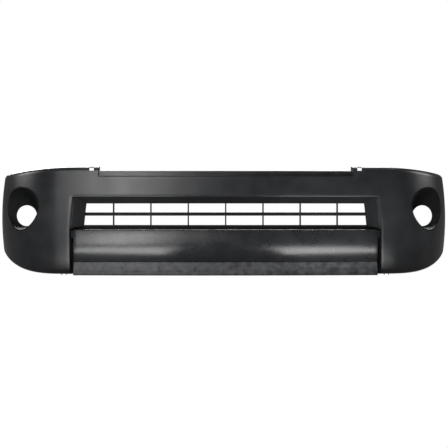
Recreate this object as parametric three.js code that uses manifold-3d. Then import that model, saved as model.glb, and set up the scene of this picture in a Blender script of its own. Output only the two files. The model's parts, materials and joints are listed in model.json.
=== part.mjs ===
// Front bumper cover of a compact sport utility: a moulded skin with corner pods, a slot
// grille, a lower lip panel, an air dam, fog-lamp bezels, retainers, stays and their fasteners.
// Millimetres. X runs across the vehicle, Y rearwards and Z up. While it is built, height 0 is
// the lower edge of the air dam; the whole model is then hung from the upper seat's centre.
import * as THREE from "three";
import { mergeVertices } from "three/addons/utils/BufferGeometryUtils.js";
import Module from "manifold-3d";

const wasm = await Module();
wasm.setup();

// ---- driving dimensions ---------------------------------------------------------------------
// Plan view: a shallow front arc, a corner arc and a nearly straight side on each hand.
const FRONT_RADIUS = 3300;
const CORNER_START = 645;
const CORNER_RADIUS = 288;
const SIDE_ANGLE = THREE.MathUtils.degToRad(86);
const DEPTH = 520;
// Skin.
const WALL = 3.2;
const GAP = 0.4;
const POD_TOP = 417;
const POD_TOP_DROP = 22;
const POD_TOP_SHOULDER = 575;
const POD_TOP_RUN = 275;
const POD_BOTTOM = 5;
const POD_BOTTOM_RISE = 130;
const POD_BOTTOM_POWER = 3.5;
const POD_BOTTOM_SQUARE = 0.97;
const CROWN = 14;
const CROWN_HEIGHT = 0.45;
const ROLL = 20;
const TOP_FLANGE = 20;
const BOTTOM_FLANGE = 14;
// Upper seat: the step between the pods where the upper body panel lands.
const SEAT_HALF = 491;
const SEAT_LEDGE = 380;
const SEAT_TOP = 401;
const SEAT_FACE = -23;
const SEAT_DEPTH = 30;
const NOTCH = { from: 503, to: 520, depth: 15 };
const SEAT_HOLES = { x: [120, 260, 400], radius: 4.5, behind: 19 };
// Centre opening between the pods, and the slot at the back of its funnel.
const OPENING = { topHalf: 588, bottomHalf: 600, top: 302, bottom: 176 };
const SLOT = { topHalf: 536, bottomHalf: 546, top: 276, bottom: 193.5, back: -60 };
const SLOT_FLANGE = 18;
const POD_WALL_DEPTH = 57;
const BAFFLE_WIDTH = 24;
const CROSS_RAIL = -30;
// Panels that close the opening below the slot.
const PANEL_HALF = 588;
const LIP_RIBS = { x: [50, 230, 390, 550], low: 58, high: 138, back: -34, wall: 2.5 };
const LIP = { top: 176, bottom: 56, edge: -20, bulge: 13, returnDepth: 29 };
const DAM = { top: 51.6, wall: 3.5, rear: -50, hip: -24, toe: -11 };
// Slot grille.
const FIN_PITCH = 144;
const FIN_COUNT = 7;
const FIN_WIDTH = 5;
const FIN_SOCKET = 4;
const BAR = { height: 13, middle: 235.5, front: -54, back: -66.5, tongue: 16 };
const RAIL = { front: SLOT.back - GAP, back: -74, height: 14, overlap: 1.5 };
const GRILLE_SCREWS = [
  { x: 216, z: SLOT.top + 9.5 },
  { x: 504, z: SLOT.top + 9.5 },
  { x: 360, z: SLOT.bottom - 8 },
];
// Fog-lamp bezel.
const LAMP = { x: 772, y: 202, z: 229, radius: 40.5, rim: 6, tilt: THREE.MathUtils.degToRad(12) };
const SCOOP = { turn: THREE.MathUtils.degToRad(45.5), z: 256, half: 93, tall: 85, taper: 0.16 };
const BEZEL_WALL = 2.5;
const EAR_TURNS = [0.3, 0.62, 0.98];
const EAR = { reach: 16, radius: 7, post: 9.2 };
// Wheel opening.
const ARCH = { y: 753, z: 120, radius: 355, flange: 15 };
// Fasteners.
const SCREW = { head: 5, headThick: 2.6, shank: 1.8, pilot: 2.1, clear: 2.6 };
const RIVET = { flange: 9, flangeThick: 2, shank: 3.9, hole: 4.3, bore: 2.15, pin: 1.85, pinHead: 5 };
const RIVET_X = [100, 300, 500];
const RIVET_OUTWARD = -38;
// The lip's bosses stop just short of the skin's cross rail.
const LIP_BOSS = { x: [170, 470], z: 160, radius: 4.5, seat: CROSS_RAIL + WALL + GAP };
// Shallow pockets along the air dam's face.
const SCALLOP = { count: 8, pitch: 140, half: 52, low: 14, high: 38, floor: -14.6, front: 2, rake: 6.2 };
// Brackets that hold the cover to the body.
const RETAINER = { from: 352, to: 512, height: 34, seat: 24, wall: 2.5, inset: 42 };
const RETAINER_SLOTS = { y: [388, 432, 476], radius: 3.5, half: 6, share: 0.62 };
const RETAINER_SCREW_Y = [384, 470];
const STRIP = { from: 40, to: 476, leg: 26, wall: 1.6, rivetX: [190, 440], rivetZ: SEAT_LEDGE + 9 };
const STAY = { width: 34, wall: 2.5, length: 120, x: 628, step: 26, screwsAside: [-9, 9], screwIn: 4 };
const STAY_BOLT = { radius: 4.5, fromEnd: 16 };

// ---- materials ------------------------------------------------------------------------------
const grainedPlastic = new THREE.MeshStandardMaterial({ color: 0x232427, roughness: 0.62 });
const smoothPlastic = new THREE.MeshStandardMaterial({ color: 0x2b2b2e, roughness: 0.42 });
const bezelPlastic = new THREE.MeshStandardMaterial({ color: 0x121314, roughness: 0.5 });
const damRubber = new THREE.MeshStandardMaterial({ color: 0x3a3b3d, roughness: 0.75 });
const nylon = new THREE.MeshStandardMaterial({ color: 0x18191a, roughness: 0.55 });
const coatedSteel = new THREE.MeshStandardMaterial({ color: 0x1e1f21, roughness: 0.45, metalness: 0.3 });
const zincSteel = new THREE.MeshStandardMaterial({ color: 0xb3b1a6, roughness: 0.4, metalness: 0.9 });

// ---- solids ---------------------------------------------------------------------------------
/** Turns a closed three.js geometry into a solid that can be joined and cut. */
function solid(geometry) {
  const bare = geometry.index ? geometry.toNonIndexed() : geometry.clone();
  for (const name of Object.keys(bare.attributes)) {
    if (name !== "position") bare.deleteAttribute(name);
  }
  const merged = mergeVertices(bare, 1e-4);
  const mesh = new wasm.Mesh({
    numProp: 3,
    vertProperties: new Float32Array(merged.attributes.position.array),
    triVerts: new Uint32Array(merged.index.array),
  });
  return new wasm.Manifold(mesh);
}

/** A named three.js mesh of a finished solid. */
function piece(name, shape, material) {
  const mesh = shape.getMesh();
  const geometry = new THREE.BufferGeometry();
  geometry.setAttribute("position", new THREE.BufferAttribute(new Float32Array(mesh.vertProperties), 3));
  geometry.setIndex(new THREE.BufferAttribute(new Uint32Array(mesh.triVerts), 1));
  const flat = geometry.toNonIndexed();
  flat.computeVertexNormals();
  const made = new THREE.Mesh(flat, material);
  made.name = name;
  return made;
}

const joined = (shapes) => shapes.reduce((whole, next) => whole.add(next));
const cut = (shape, tools) => tools.reduce((left, tool) => left.subtract(tool), shape);
const mirrored = (shape) => shape.mirror([1, 0, 0]);
const bothHands = (shape) => [shape, mirrored(shape)];

/** Closed geometry through a row of rings of equal length: open rows get end caps. */
function loft(rings, { closed = false, outline = null } = {}) {
  const count = rings[0].length;
  const positions = rings.flat().flatMap((p) => [p.x, p.y, p.z]);
  const index = [];
  const spans = closed ? rings.length : rings.length - 1;
  for (let i = 0; i < spans; i += 1) {
    const here = i * count;
    const next = ((i + 1) % rings.length) * count;
    for (let k = 0; k < count; k += 1) {
      const side = (k + 1) % count;
      index.push(here + k, next + k, next + side, here + k, next + side, here + side);
    }
  }
  if (!closed) {
    const cap = THREE.ShapeUtils.triangulateShape(outline.map(([a, b]) => new THREE.Vector2(a, b)), []);
    const last = (rings.length - 1) * count;
    const clockwise = THREE.ShapeUtils.isClockWise(outline.map(([a, b]) => new THREE.Vector2(a, b)));
    for (const [a, b, c] of cap) {
      if (clockwise) index.push(a, c, b, last + a, last + b, last + c);
      else index.push(a, b, c, last + a, last + c, last + b);
    }
  }
  if (volumeOf(positions, index) < 0) {
    for (let i = 0; i < index.length; i += 3) [index[i + 1], index[i + 2]] = [index[i + 2], index[i + 1]];
  }
  const geometry = new THREE.BufferGeometry();
  geometry.setAttribute("position", new THREE.Float32BufferAttribute(positions, 3));
  geometry.setIndex(index);
  return geometry;
}

/** Signed volume of an indexed surface, positive when its faces point out. */
function volumeOf(positions, index) {
  const at = (i) => new THREE.Vector3().fromArray(positions, 3 * i);
  let six = 0;
  for (let i = 0; i < index.length; i += 3) {
    six += at(index[i]).dot(at(index[i + 1]).cross(at(index[i + 2])));
  }
  return six / 6;
}

/** A front-view outline pushed through from depth y0 to y1. */
function frontPrism(shape, y0, y1, curveSegments = 12) {
  const geometry = new THREE.ExtrudeGeometry(shape, { depth: y1 - y0, bevelEnabled: false, curveSegments });
  return solid(geometry.rotateX(Math.PI / 2).translate(0, y1, 0));
}

const polygon = (points) => new THREE.Shape(points.map(([a, b]) => new THREE.Vector2(a, b)));

/** A box from its lowest to its highest corner. */
function box([x0, y0, z0], [x1, y1, z1]) {
  const geometry = new THREE.BoxGeometry(x1 - x0, y1 - y0, z1 - z0);
  return solid(geometry.translate((x0 + x1) / 2, (y0 + y1) / 2, (z0 + z1) / 2));
}

// ---- plan line ------------------------------------------------------------------------------
const frontTurn = Math.asin(CORNER_START / FRONT_RADIUS);
const frontLength = FRONT_RADIUS * frontTurn;
const cornerLength = CORNER_RADIUS * (SIDE_ANGLE - frontTurn);
const cornerY = FRONT_RADIUS * (1 - Math.cos(frontTurn));
const sideX = CORNER_START + CORNER_RADIUS * (Math.sin(SIDE_ANGLE) - Math.sin(frontTurn));
const sideY = cornerY + CORNER_RADIUS * (Math.cos(frontTurn) - Math.cos(SIDE_ANGLE));
const sideLength = (DEPTH - sideY) / Math.sin(SIDE_ANGLE);
const HALF_WIDTH = sideX + sideLength * Math.cos(SIDE_ANGLE);

/** The station at a signed distance along the plan line: its point, outward normal and tangent. */
function station(distance) {
  const hand = Math.sign(distance) || 1;
  const s = Math.abs(distance);
  let turn = SIDE_ANGLE;
  let x = sideX + (s - frontLength - cornerLength) * Math.cos(SIDE_ANGLE);
  let y = sideY + (s - frontLength - cornerLength) * Math.sin(SIDE_ANGLE);
  if (s < frontLength) {
    turn = s / FRONT_RADIUS;
    x = FRONT_RADIUS * Math.sin(turn);
    y = FRONT_RADIUS * (1 - Math.cos(turn));
  } else if (s < frontLength + cornerLength) {
    turn = frontTurn + (s - frontLength) / CORNER_RADIUS;
    x = CORNER_START + CORNER_RADIUS * (Math.sin(turn) - Math.sin(frontTurn));
    y = cornerY + CORNER_RADIUS * (Math.cos(frontTurn) - Math.cos(turn));
  }
  const out = new THREE.Vector3(hand * Math.sin(turn), -Math.cos(turn), 0);
  const along = new THREE.Vector3(Math.cos(turn), hand * Math.sin(turn), 0);
  return { x: hand * x, y, out, along };
}

/** Distance along the plan line at which its frontal position is x, on the front or corner arc. */
function distanceAt(x) {
  const a = Math.abs(x);
  if (a <= CORNER_START) return Math.sign(x) * FRONT_RADIUS * Math.asin(a / FRONT_RADIUS);
  const turn = Math.asin(Math.sin(frontTurn) + (a - CORNER_START) / CORNER_RADIUS);
  return Math.sign(x) * (frontLength + CORNER_RADIUS * (turn - frontTurn));
}

/** The plan-line x of a point that stands at x once it is offset along the front arc's normal. */
const planX = (x, outward) => x / (1 + outward / FRONT_RADIUS);

const spaced = (from, to, steps) =>
  Array.from({ length: steps + 1 }, (_, i) => from + ((to - from) * i) / steps);
const stationsAcross = (half, steps) => spaced(distanceAt(-half), distanceAt(half), steps).map(station);
const stationsBetween = (x0, x1, steps) => spaced(distanceAt(x0), distanceAt(x1), steps).map(station);

/** A closed cross-section of [outward, height] pairs swept along stations of the plan line. */
function sweep(stations, section) {
  const outlines = stations.map(section);
  const rings = outlines.map((outline, i) => {
    const { x, y, out } = stations[i];
    return outline.map(([d, z]) => new THREE.Vector3(x + out.x * d, y + out.y * d, z));
  });
  return solid(loft(rings, { outline: outlines[0] }));
}

/** The closed outline of a wall of even thickness to the right of an open line. */
function wall(line, thickness) {
  const unit = ([ax, az], [bx, bz]) => {
    const length = Math.hypot(bx - ax, bz - az);
    return [(bx - ax) / length, (bz - az) / length];
  };
  const inner = line.map((point, i) => {
    const before = i > 0 ? unit(line[i - 1], point) : unit(point, line[i + 1]);
    const after = i < line.length - 1 ? unit(point, line[i + 1]) : before;
    const right = [before[1] + after[1], -before[0] - after[0]];
    const size = Math.hypot(right[0], right[1]);
    const spread = Math.max(0.5, size / 2);
    return [
      point[0] + (right[0] / size) * (thickness / spread),
      point[1] + (right[1] / size) * (thickness / spread),
    ];
  });
  return [...line, ...inner.reverse()];
}

/** Puts a geometry whose X runs along, Y up and Z outwards at a station, offset and height. */
function atStation(geometry, place, outward, height) {
  const up = new THREE.Vector3(0, 0, 1);
  const matrix = new THREE.Matrix4().makeBasis(place.along, up, place.out);
  matrix.setPosition(place.x + place.out.x * outward, place.y + place.out.y * outward, height);
  return solid(geometry.clone().applyMatrix4(matrix));
}

/** A cylinder along local Z between two depths. */
function rod(radius, from, to, sides = 10) {
  const geometry = new THREE.CylinderGeometry(radius, radius, to - from, sides);
  return geometry.rotateX(Math.PI / 2).translate(0, 0, (from + to) / 2);
}

// ---- skin -----------------------------------------------------------------------------------
const clamped = (value, low, high) => Math.min(high, Math.max(low, value));

function podTop(x) {
  const past = Math.max(0, Math.abs(x) - POD_TOP_SHOULDER) / POD_TOP_RUN;
  return POD_TOP - POD_TOP_DROP * past * past;
}

function podBottom(x) {
  const share = clamped((Math.abs(x) - OPENING.bottomHalf) / (HALF_WIDTH - OPENING.bottomHalf), 0, 1);
  return POD_BOTTOM + POD_BOTTOM_RISE * (1 - Math.sqrt(1 - POD_BOTTOM_SQUARE * share ** POD_BOTTOM_POWER));
}

/** How far the crowned face stands off the plan line at a height. */
function faceOffset(x, z) {
  const low = podBottom(x);
  const share = (z - low) / (podTop(x) - low);
  return -CROWN * ((share - CROWN_HEIGHT) / (1 - CROWN_HEIGHT)) ** 2;
}

/** Quarter roll from one direction to another, as points about a centre. */
function roll([cx, cz], radius, fromDeg, toDeg, steps) {
  return spaced(fromDeg, toDeg, steps).map((degrees) => {
    const a = THREE.MathUtils.degToRad(degrees);
    return [cx + radius * Math.cos(a), cz + radius * Math.sin(a)];
  });
}

/** The outer line of the skin's cross-section, from the top flange to the bottom flange. */
function skinLine(place) {
  const top = podTop(place.x);
  const bottom = podBottom(place.x);
  const topFace = faceOffset(place.x, top - ROLL);
  const bottomFace = faceOffset(place.x, bottom + ROLL);
  const faceHeights = spaced(top - ROLL, bottom + ROLL, 6).slice(1, -1);
  return [
    [topFace - ROLL - TOP_FLANGE, top],
    ...roll([topFace - ROLL, top - ROLL], ROLL, 90, 0, 3),
    ...faceHeights.map((z) => [faceOffset(place.x, z), z]),
    ...roll([bottomFace - ROLL, bottom + ROLL], ROLL, 0, -90, 3),
    [bottomFace - ROLL - BOTTOM_FLANGE, bottom],
  ];
}

const skinSection = (place) => wall(skinLine(place), WALL);

function skinStations() {
  const right = [
    ...spaced(0, frontLength, 7),
    ...spaced(frontLength, frontLength + cornerLength, 10).slice(1),
    ...spaced(frontLength + cornerLength, frontLength + cornerLength + sideLength, 3).slice(1),
  ];
  return [...right.slice(1).reverse().map((s) => -s), ...right].map(station);
}

const scoopMiddle = frontLength + CORNER_RADIUS * (SCOOP.turn - frontTurn);

/** The fog-lamp scoop's outline as [distance along the plan line, height], grown by a margin. */
function scoopPoint(angle, grow = 0) {
  const half = (SCOOP.half + grow) * (1 + SCOOP.taper * Math.sin(angle));
  return [scoopMiddle + half * Math.cos(angle), SCOOP.z + (SCOOP.tall + grow) * Math.sin(angle)];
}

/** The point of the skin's outer face at a distance and height, sunk inwards by a depth. */
function skinPoint(distance, z, depth = 0) {
  const place = station(distance);
  const d = faceOffset(place.x, z) - depth;
  return new THREE.Vector3(place.x + place.out.x * d, place.y + place.out.y * d, z);
}

/** The slanted wall from the skin to the slot at the outer end of the centre opening. */
function funnelEndWall() {
  const rings = [
    [OPENING.bottomHalf, SLOT.bottomHalf, OPENING.bottom + GAP],
    [OPENING.topHalf, SLOT.topHalf, OPENING.top + WALL],
  ].map(([front, back, z]) => {
    const a = skinPoint(distanceAt(front), z, 0.3);
    const end = SLOT.back + WALL;
    const inner = station(distanceAt(planX(back, end)));
    const b = new THREE.Vector3(inner.x + inner.out.x * end, inner.y + inner.out.y * end, z);
    const along = b.clone().sub(a).normalize();
    const outboard = new THREE.Vector3(along.y, -along.x, 0).multiplyScalar(WALL);
    return [a, b, b.clone().add(outboard), a.clone().add(outboard)];
  });
  const outline = rings[0].map((p) => [p.x, p.y]);
  return solid(loft(rings, { outline }));
}

/** Where the skin's outer line crosses a height, as an offset. */
function lineAt(line, z) {
  const k = line.findIndex(([, below], i) => i > 0 && line[i - 1][1] > z && below <= z);
  const [[d0, z0], [d1, z1]] = [line[k - 1], line[k]];
  return d0 + ((d1 - d0) * (z - z0)) / (z1 - z0);
}

/** An upright wall across a pod that closes its hollow between two heights. */
function closingWall(x, low, high, back) {
  const line = skinLine(station(distanceAt(x)));
  const between = line.filter(([, z]) => z > low + 0.5 && z < high - 0.5);
  const section = [
    [back, high],
    [lineAt(line, high) - 1, high],
    ...between.map(([d, z]) => [d - 1, z]),
    [lineAt(line, low) - 1, low],
    [back, low],
  ];
  return sweep(stationsBetween(x, x + WALL, 1), () => section);
}

/** The return flange round the wheel opening, cut from a slab that follows the side. */
function archFlange() {
  const ringFrom = new THREE.CylinderGeometry(ARCH.radius + WALL, ARCH.radius + WALL, 80, 72);
  const ringTo = new THREE.CylinderGeometry(ARCH.radius, ARCH.radius, 90, 72);
  const place = (geometry) =>
    solid(geometry.rotateZ(Math.PI / 2).translate(HALF_WIDTH - 25, ARCH.y, ARCH.z));
  const ring = place(ringFrom).subtract(place(ringTo));
  const sideStart = frontLength + cornerLength;
  const slab = sweep(spaced(sideStart - 20, sideStart + sideLength, 4).map(station), (at) => {
    const low = podBottom(at.x) + ROLL;
    const high = podTop(at.x) - ROLL;
    const outer = spaced(high, low, 8).map((z) => [faceOffset(at.x, z) - 0.4, z]);
    return [...outer, ...outer.map(([d, z]) => [d - ARCH.flange, z]).reverse()];
  });
  return ring.intersect(slab);
}

/** Where the skin's posts meet the ears of a bezel: station, height and direction outwards. */
function bezelFixings() {
  return EAR_TURNS.map((share) => {
    const [distance, z] = scoopPoint(share * 2 * Math.PI, EAR.reach);
    const place = station(distance);
    const angle = Math.atan2(z - SCOOP.z, distance - scoopMiddle);
    return { place, z, angle, face: faceOffset(place.x, z) };
  });
}

function screwPost({ place, z, face }) {
  const post = atStation(rod(SCREW.head, -EAR.post, -1), place, face, z);
  const pilot = atStation(rod(SCREW.pilot, -EAR.post - 3, -2), place, face, z);
  return { post, pilot };
}

/** The block that opens the skin for a fog-lamp bezel. */
function scoopCutter() {
  const outline = spaced(0, 2 * Math.PI, 28).slice(0, -1).map((angle) => scoopPoint(angle));
  const ring = (depth) => outline.map(([distance, z]) => skinPoint(distance, z, depth));
  return solid(loft([ring(-40), ring(12)], { outline }));
}

/** A place set off from a station, outwards and along the plan line. */
function setOff(at, outward, aside = 0) {
  return [at.x + at.out.x * outward + at.along.x * aside, at.y + at.out.y * outward + at.along.y * aside];
}

/** An upright drill centred on a height at a place in plan. */
function drill(radius, length, [x, y], z) {
  const geometry = new THREE.CylinderGeometry(radius, radius, length, 10);
  return solid(geometry.rotateX(Math.PI / 2).translate(x, y, z));
}

/** A clip hole through the upper seat and the retainer under it. */
function seatHole(x) {
  const place = setOff(station(distanceAt(x)), SEAT_FACE - SEAT_HOLES.behind);
  return drill(SEAT_HOLES.radius, 20, place, SEAT_TOP);
}

function bumperSkin() {
  const openingShape = polygon([
    [-OPENING.bottomHalf, -40],
    [OPENING.bottomHalf, -40],
    [OPENING.bottomHalf, OPENING.bottom],
    [OPENING.topHalf, OPENING.top],
    [-OPENING.topHalf, OPENING.top],
    [-OPENING.bottomHalf, OPENING.bottom],
  ]);
  const shell = cut(sweep(skinStations(), skinSection), [
    frontPrism(openingShape, -60, 200),
    box([-SEAT_HALF, -60, SEAT_LEDGE], [SEAT_HALF, 200, POD_TOP + 20]),
  ]);

  const ledgeFace = (at) => faceOffset(at.x, SEAT_LEDGE) - 1;
  const seat = sweep(stationsAcross(SEAT_HALF + 9, 14), (at) =>
    wall(
      [
        [SEAT_FACE - SEAT_DEPTH, SEAT_TOP],
        [SEAT_FACE - 3, SEAT_TOP],
        [SEAT_FACE, SEAT_TOP - 3],
        [SEAT_FACE, SEAT_LEDGE + 1],
        [ledgeFace(at) - 1.5, SEAT_LEDGE],
        [ledgeFace(at), SEAT_LEDGE - 1.5],
        [ledgeFace(at), SEAT_LEDGE - 9],
      ],
      WALL,
    ),
  );
  const funnelRoof = sweep(stationsAcross(OPENING.topHalf + 2, 16), (at) => {
    const lip = faceOffset(at.x, OPENING.top) - 0.3;
    return wall(
      [
        [lip, OPENING.top + 6],
        [lip, OPENING.top + 0.4],
        [SLOT.back, SLOT.top],
        [SLOT.back, SLOT.top + SLOT_FLANGE],
      ],
      WALL,
    );
  });
  const funnelFloor = sweep(stationsAcross(OPENING.bottomHalf + 2, 16), () =>
    wall(
      [
        [CROSS_RAIL, OPENING.bottom - 30],
        [CROSS_RAIL, OPENING.bottom - WALL],
        [SLOT.back, OPENING.bottom - WALL],
        [SLOT.back, SLOT.bottom],
      ],
      WALL,
    ),
  );
  const baffle = sweep(stationsBetween(OPENING.bottomHalf - BAFFLE_WIDTH, OPENING.bottomHalf + 1, 1), () => [
    [-POD_WALL_DEPTH, OPENING.bottom - 4],
    [-POD_WALL_DEPTH + WALL, OPENING.bottom - 4],
    [-POD_WALL_DEPTH + WALL, POD_BOTTOM + 1],
    [-POD_WALL_DEPTH, POD_BOTTOM + 1],
  ]);
  const endFlange = sweep(stationsBetween(SLOT.topHalf - 2, SLOT.bottomHalf + 28, 2), () => [
    [SLOT.back, SLOT.top + SLOT_FLANGE],
    [SLOT.back + WALL, SLOT.top + SLOT_FLANGE],
    [SLOT.back + WALL, OPENING.bottom - 2],
    [SLOT.back, OPENING.bottom - 2],
  ]);
  // The end flange keeps clear of the slot's slanted end.
  const slotEnd = frontPrism(
    polygon([
      [0, SLOT.bottom],
      [SLOT.bottomHalf, SLOT.bottom],
      [SLOT.topHalf, SLOT.top],
      [0, SLOT.top],
    ]),
    0,
    200,
  );
  const fixings = bezelFixings().map(screwPost);
  const oneHand = joined([
    funnelEndWall(),
    closingWall(OPENING.bottomHalf, POD_BOTTOM + 1, OPENING.bottom + WALL, -POD_WALL_DEPTH),
    closingWall(SEAT_HALF, SEAT_LEDGE - 6, POD_TOP - 1, SEAT_FACE - SEAT_DEPTH),
    archFlange(),
    baffle,
    endFlange.subtract(slotEnd),
    ...fixings.map((f) => f.post),
  ]);

  const arch = new THREE.CylinderGeometry(ARCH.radius, ARCH.radius, 400, 72);
  const archCutter = solid(arch.rotateZ(Math.PI / 2).translate(HALF_WIDTH, ARCH.y, ARCH.z));
  const notch = box([NOTCH.from, -60, POD_TOP - NOTCH.depth], [NOTCH.to, 60, POD_TOP + 20]);
  const retainerHoles = RETAINER_SCREW_Y.map((y) => retainerScrewHole(y, SCREW.clear));
  const lipHoles = LIP_BOSS.x.map((x) =>
    atStation(rod(SCREW.clear, CROSS_RAIL - 4, CROSS_RAIL + 6), station(distanceAt(x)), 0, LIP_BOSS.z),
  );
  const grilleHoles = GRILLE_SCREWS.map(({ x, z }) =>
    atStation(rod(SCREW.pilot, SLOT.back - 2, SLOT.back + 6), station(distanceAt(x)), 0, z),
  );
  const stayHoles = STAY.screwsAside.map(stayScrewHole);
  const handedCutters = [
    scoopCutter(),
    archCutter,
    notch,
    ...fixings.map((f) => f.pilot),
    ...SEAT_HOLES.x.map(seatHole),
    ...retainerHoles,
    ...lipHoles,
    ...grilleHoles,
    ...stayHoles,
  ];
  const body = joined([shell, seat, funnelRoof, funnelFloor, ...bothHands(oneHand)]);
  return cut(body, handedCutters.flatMap(bothHands));
}

// ---- side retainers -------------------------------------------------------------------------
const sideStation = (y) => station(frontLength + cornerLength + (y - sideY) / Math.sin(SIDE_ANGLE));
const retainerTop = () => podTop(HALF_WIDTH) - WALL - GAP - 1;

function retainerScrewHole(y, radius) {
  const at = sideStation(y);
  return drill(radius, 60, setOff(at, -RETAINER.inset), podTop(at.x));
}

/** An angle that runs under the side's top flange; its upright leg bolts to the wing. */
function sideRetainer() {
  const top = retainerTop();
  const inner = -RETAINER.inset - RETAINER.seat / 2;
  const angle = sweep([sideStation(RETAINER.from), sideStation(RETAINER.to)], () => [
    [inner + RETAINER.seat, top],
    [inner + RETAINER.seat, top - RETAINER.wall],
    [inner + RETAINER.wall, top - RETAINER.wall],
    [inner + RETAINER.wall, top - RETAINER.height],
    [inner, top - RETAINER.height],
    [inner, top],
  ]);
  const slots = RETAINER_SLOTS.y.map((y) => {
    const { radius, half, share } = RETAINER_SLOTS;
    const shape = new THREE.Shape();
    shape.absarc(-half, 0, radius, Math.PI / 2, -Math.PI / 2, false);
    shape.absarc(half, 0, radius, -Math.PI / 2, Math.PI / 2, false);
    const geometry = new THREE.ExtrudeGeometry(shape, { depth: 12, bevelEnabled: false, curveSegments: 4 });
    return atStation(geometry.translate(0, 0, -6), sideStation(y), inner, top - RETAINER.height * share);
  });
  return cut(angle, [...RETAINER_SCREW_Y.map((y) => retainerScrewHole(y, SCREW.pilot)), ...slots]);
}

/** A screw with its head up: its head sits on a height and its shank goes down. */
function uprightScrew([x, y], seat, length) {
  const profile = [
    [0, -length],
    [SCREW.shank * 0.5, -length],
    [SCREW.shank, -length + 1.5],
    [SCREW.shank, 0],
    [SCREW.head, 0],
    [SCREW.head, SCREW.headThick * 0.6],
    [SCREW.head * 0.62, SCREW.headThick],
    [0, SCREW.headThick],
  ];
  const geometry = new THREE.LatheGeometry(profile.map(([r, h]) => new THREE.Vector2(r, h)), 8);
  return solid(geometry.rotateX(Math.PI / 2).translate(x, y, seat));
}

function retainerScrew(y) {
  const at = sideStation(y);
  return uprightScrew(setOff(at, -RETAINER.inset), podTop(at.x) + 0.9, 12);
}

/** A screw whose shank points outwards from its seat at a station, offset and height. */
function screwAt(place, outward, height, length) {
  const profile = [
    [0, -SCREW.headThick],
    [SCREW.head * 0.62, -SCREW.headThick],
    [SCREW.head, -SCREW.headThick * 0.4],
    [SCREW.head, 0],
    [SCREW.shank, 0],
    [SCREW.shank, length - 1.5],
    [SCREW.shank * 0.5, length],
    [0, length],
  ];
  const geometry = new THREE.LatheGeometry(profile.map(([r, h]) => new THREE.Vector2(r, h)), 8);
  return atStation(geometry.rotateX(Math.PI / 2), place, outward, height);
}

// ---- upper retainers ------------------------------------------------------------------------
/** A pressed steel angle behind the upper seat, one on each hand. */
function upperRetainer() {
  const top = SEAT_TOP - WALL - GAP;
  const face = SEAT_FACE - WALL - GAP - 1.5;
  const angle = sweep(stationsBetween(STRIP.from, STRIP.to, 7), () => [
    [face, top],
    [face, top - STRIP.leg],
    [face - STRIP.wall, top - STRIP.leg],
    [face - STRIP.wall, top - STRIP.wall],
    [SEAT_FACE - SEAT_DEPTH, top - STRIP.wall],
    [SEAT_FACE - SEAT_DEPTH, top],
  ]);
  const rivetHoles = STRIP.rivetX.map((x) =>
    atStation(rod(SCREW.pilot, -10, 10), station(distanceAt(x)), face, STRIP.rivetZ),
  );
  return cut(angle, [...SEAT_HOLES.x.map(seatHole), ...rivetHoles]);
}

// ---- lip panel ------------------------------------------------------------------------------
/** Outward offset of the lip's bulged face at a height. */
function lipFace(z) {
  const middle = (LIP.top + LIP.bottom) / 2;
  const half = (LIP.top - LIP.bottom) / 2;
  return LIP.edge + LIP.bulge * (1 - ((z - middle) / half) ** 2);
}

/** An upright stiffener behind the lip's face. */
function lipRib(x) {
  const { low, high, back, wall: thick } = LIP_RIBS;
  const front = spaced(high, low, 4).map((z) => [lipFace(z) - 1.5, z]);
  const section = [[back + 8, high], ...front, [back, low], [back, high - 20]];
  return sweep(stationsBetween(x - thick / 2, x + thick / 2, 1), () => section);
}

function lipPanel() {
  const line = [
    [LIP.edge - 1.8, LIP.top],
    [LIP.edge + 0.8, LIP.top],
    ...spaced(LIP.top - 4, LIP.bottom, 6).map((z) => [lipFace(z), z]),
    [LIP.edge - 3, LIP.bottom - 3.6],
    [LIP.edge - LIP.returnDepth, LIP.bottom - 3.6],
  ];
  const shell = sweep(stationsAcross(PANEL_HALF, 14), () => wall(line, WALL));
  const bosses = LIP_BOSS.x.map((x) => {
    const place = station(distanceAt(x));
    const face = lipFace(LIP_BOSS.z);
    return {
      post: atStation(rod(LIP_BOSS.radius, LIP_BOSS.seat, face - 1), place, 0, LIP_BOSS.z),
      pilot: atStation(rod(SCREW.pilot, CROSS_RAIL, face - 2.2), place, 0, LIP_BOSS.z),
    };
  });
  const rivetHoles = RIVET_X.map((x) => rivetHole(x));
  const ribs = LIP_RIBS.x.map(lipRib);
  return cut(joined([shell, ...[...bosses.map((b) => b.post), ...ribs].flatMap(bothHands)]), [
    ...bosses.flatMap((b) => bothHands(b.pilot)),
    ...rivetHoles.flatMap(bothHands),
  ]);
}

// ---- air dam --------------------------------------------------------------------------------
const rivetPlace = (x) => setOff(station(distanceAt(x)), RIVET_OUTWARD);
const rivetHole = (x) => drill(RIVET.hole, 16, rivetPlace(x), DAM.top);

/** The flexible strip under the lip: a rear flange, a raked face and a rounded toe. */
function airDam() {
  const line = [
    [DAM.rear, DAM.top],
    [DAM.hip - 3, DAM.top],
    [DAM.hip, DAM.top - 3],
    [DAM.hip + 3, 40],
    [DAM.toe - 2, 12],
    [DAM.toe, 6],
    [DAM.toe - 1, 1.5],
    [DAM.toe - 3.6, 0],
  ];
  const shell = sweep(stationsAcross(PANEL_HALF, 14), () => wall(line, DAM.wall));
  const scallops = Array.from({ length: SCALLOP.count }, (_, i) => {
    const middle = (i - (SCALLOP.count - 1) / 2) * SCALLOP.pitch;
    return sweep(stationsBetween(middle - SCALLOP.half, middle + SCALLOP.half, 3), () => [
      [SCALLOP.floor, SCALLOP.low],
      [SCALLOP.front, SCALLOP.low],
      [SCALLOP.front, SCALLOP.high],
      [SCALLOP.floor - SCALLOP.rake, SCALLOP.high],
    ]);
  });
  return cut(shell, [...scallops, ...RIVET_X.map((x) => rivetHole(x)).flatMap(bothHands)]);
}

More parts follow.
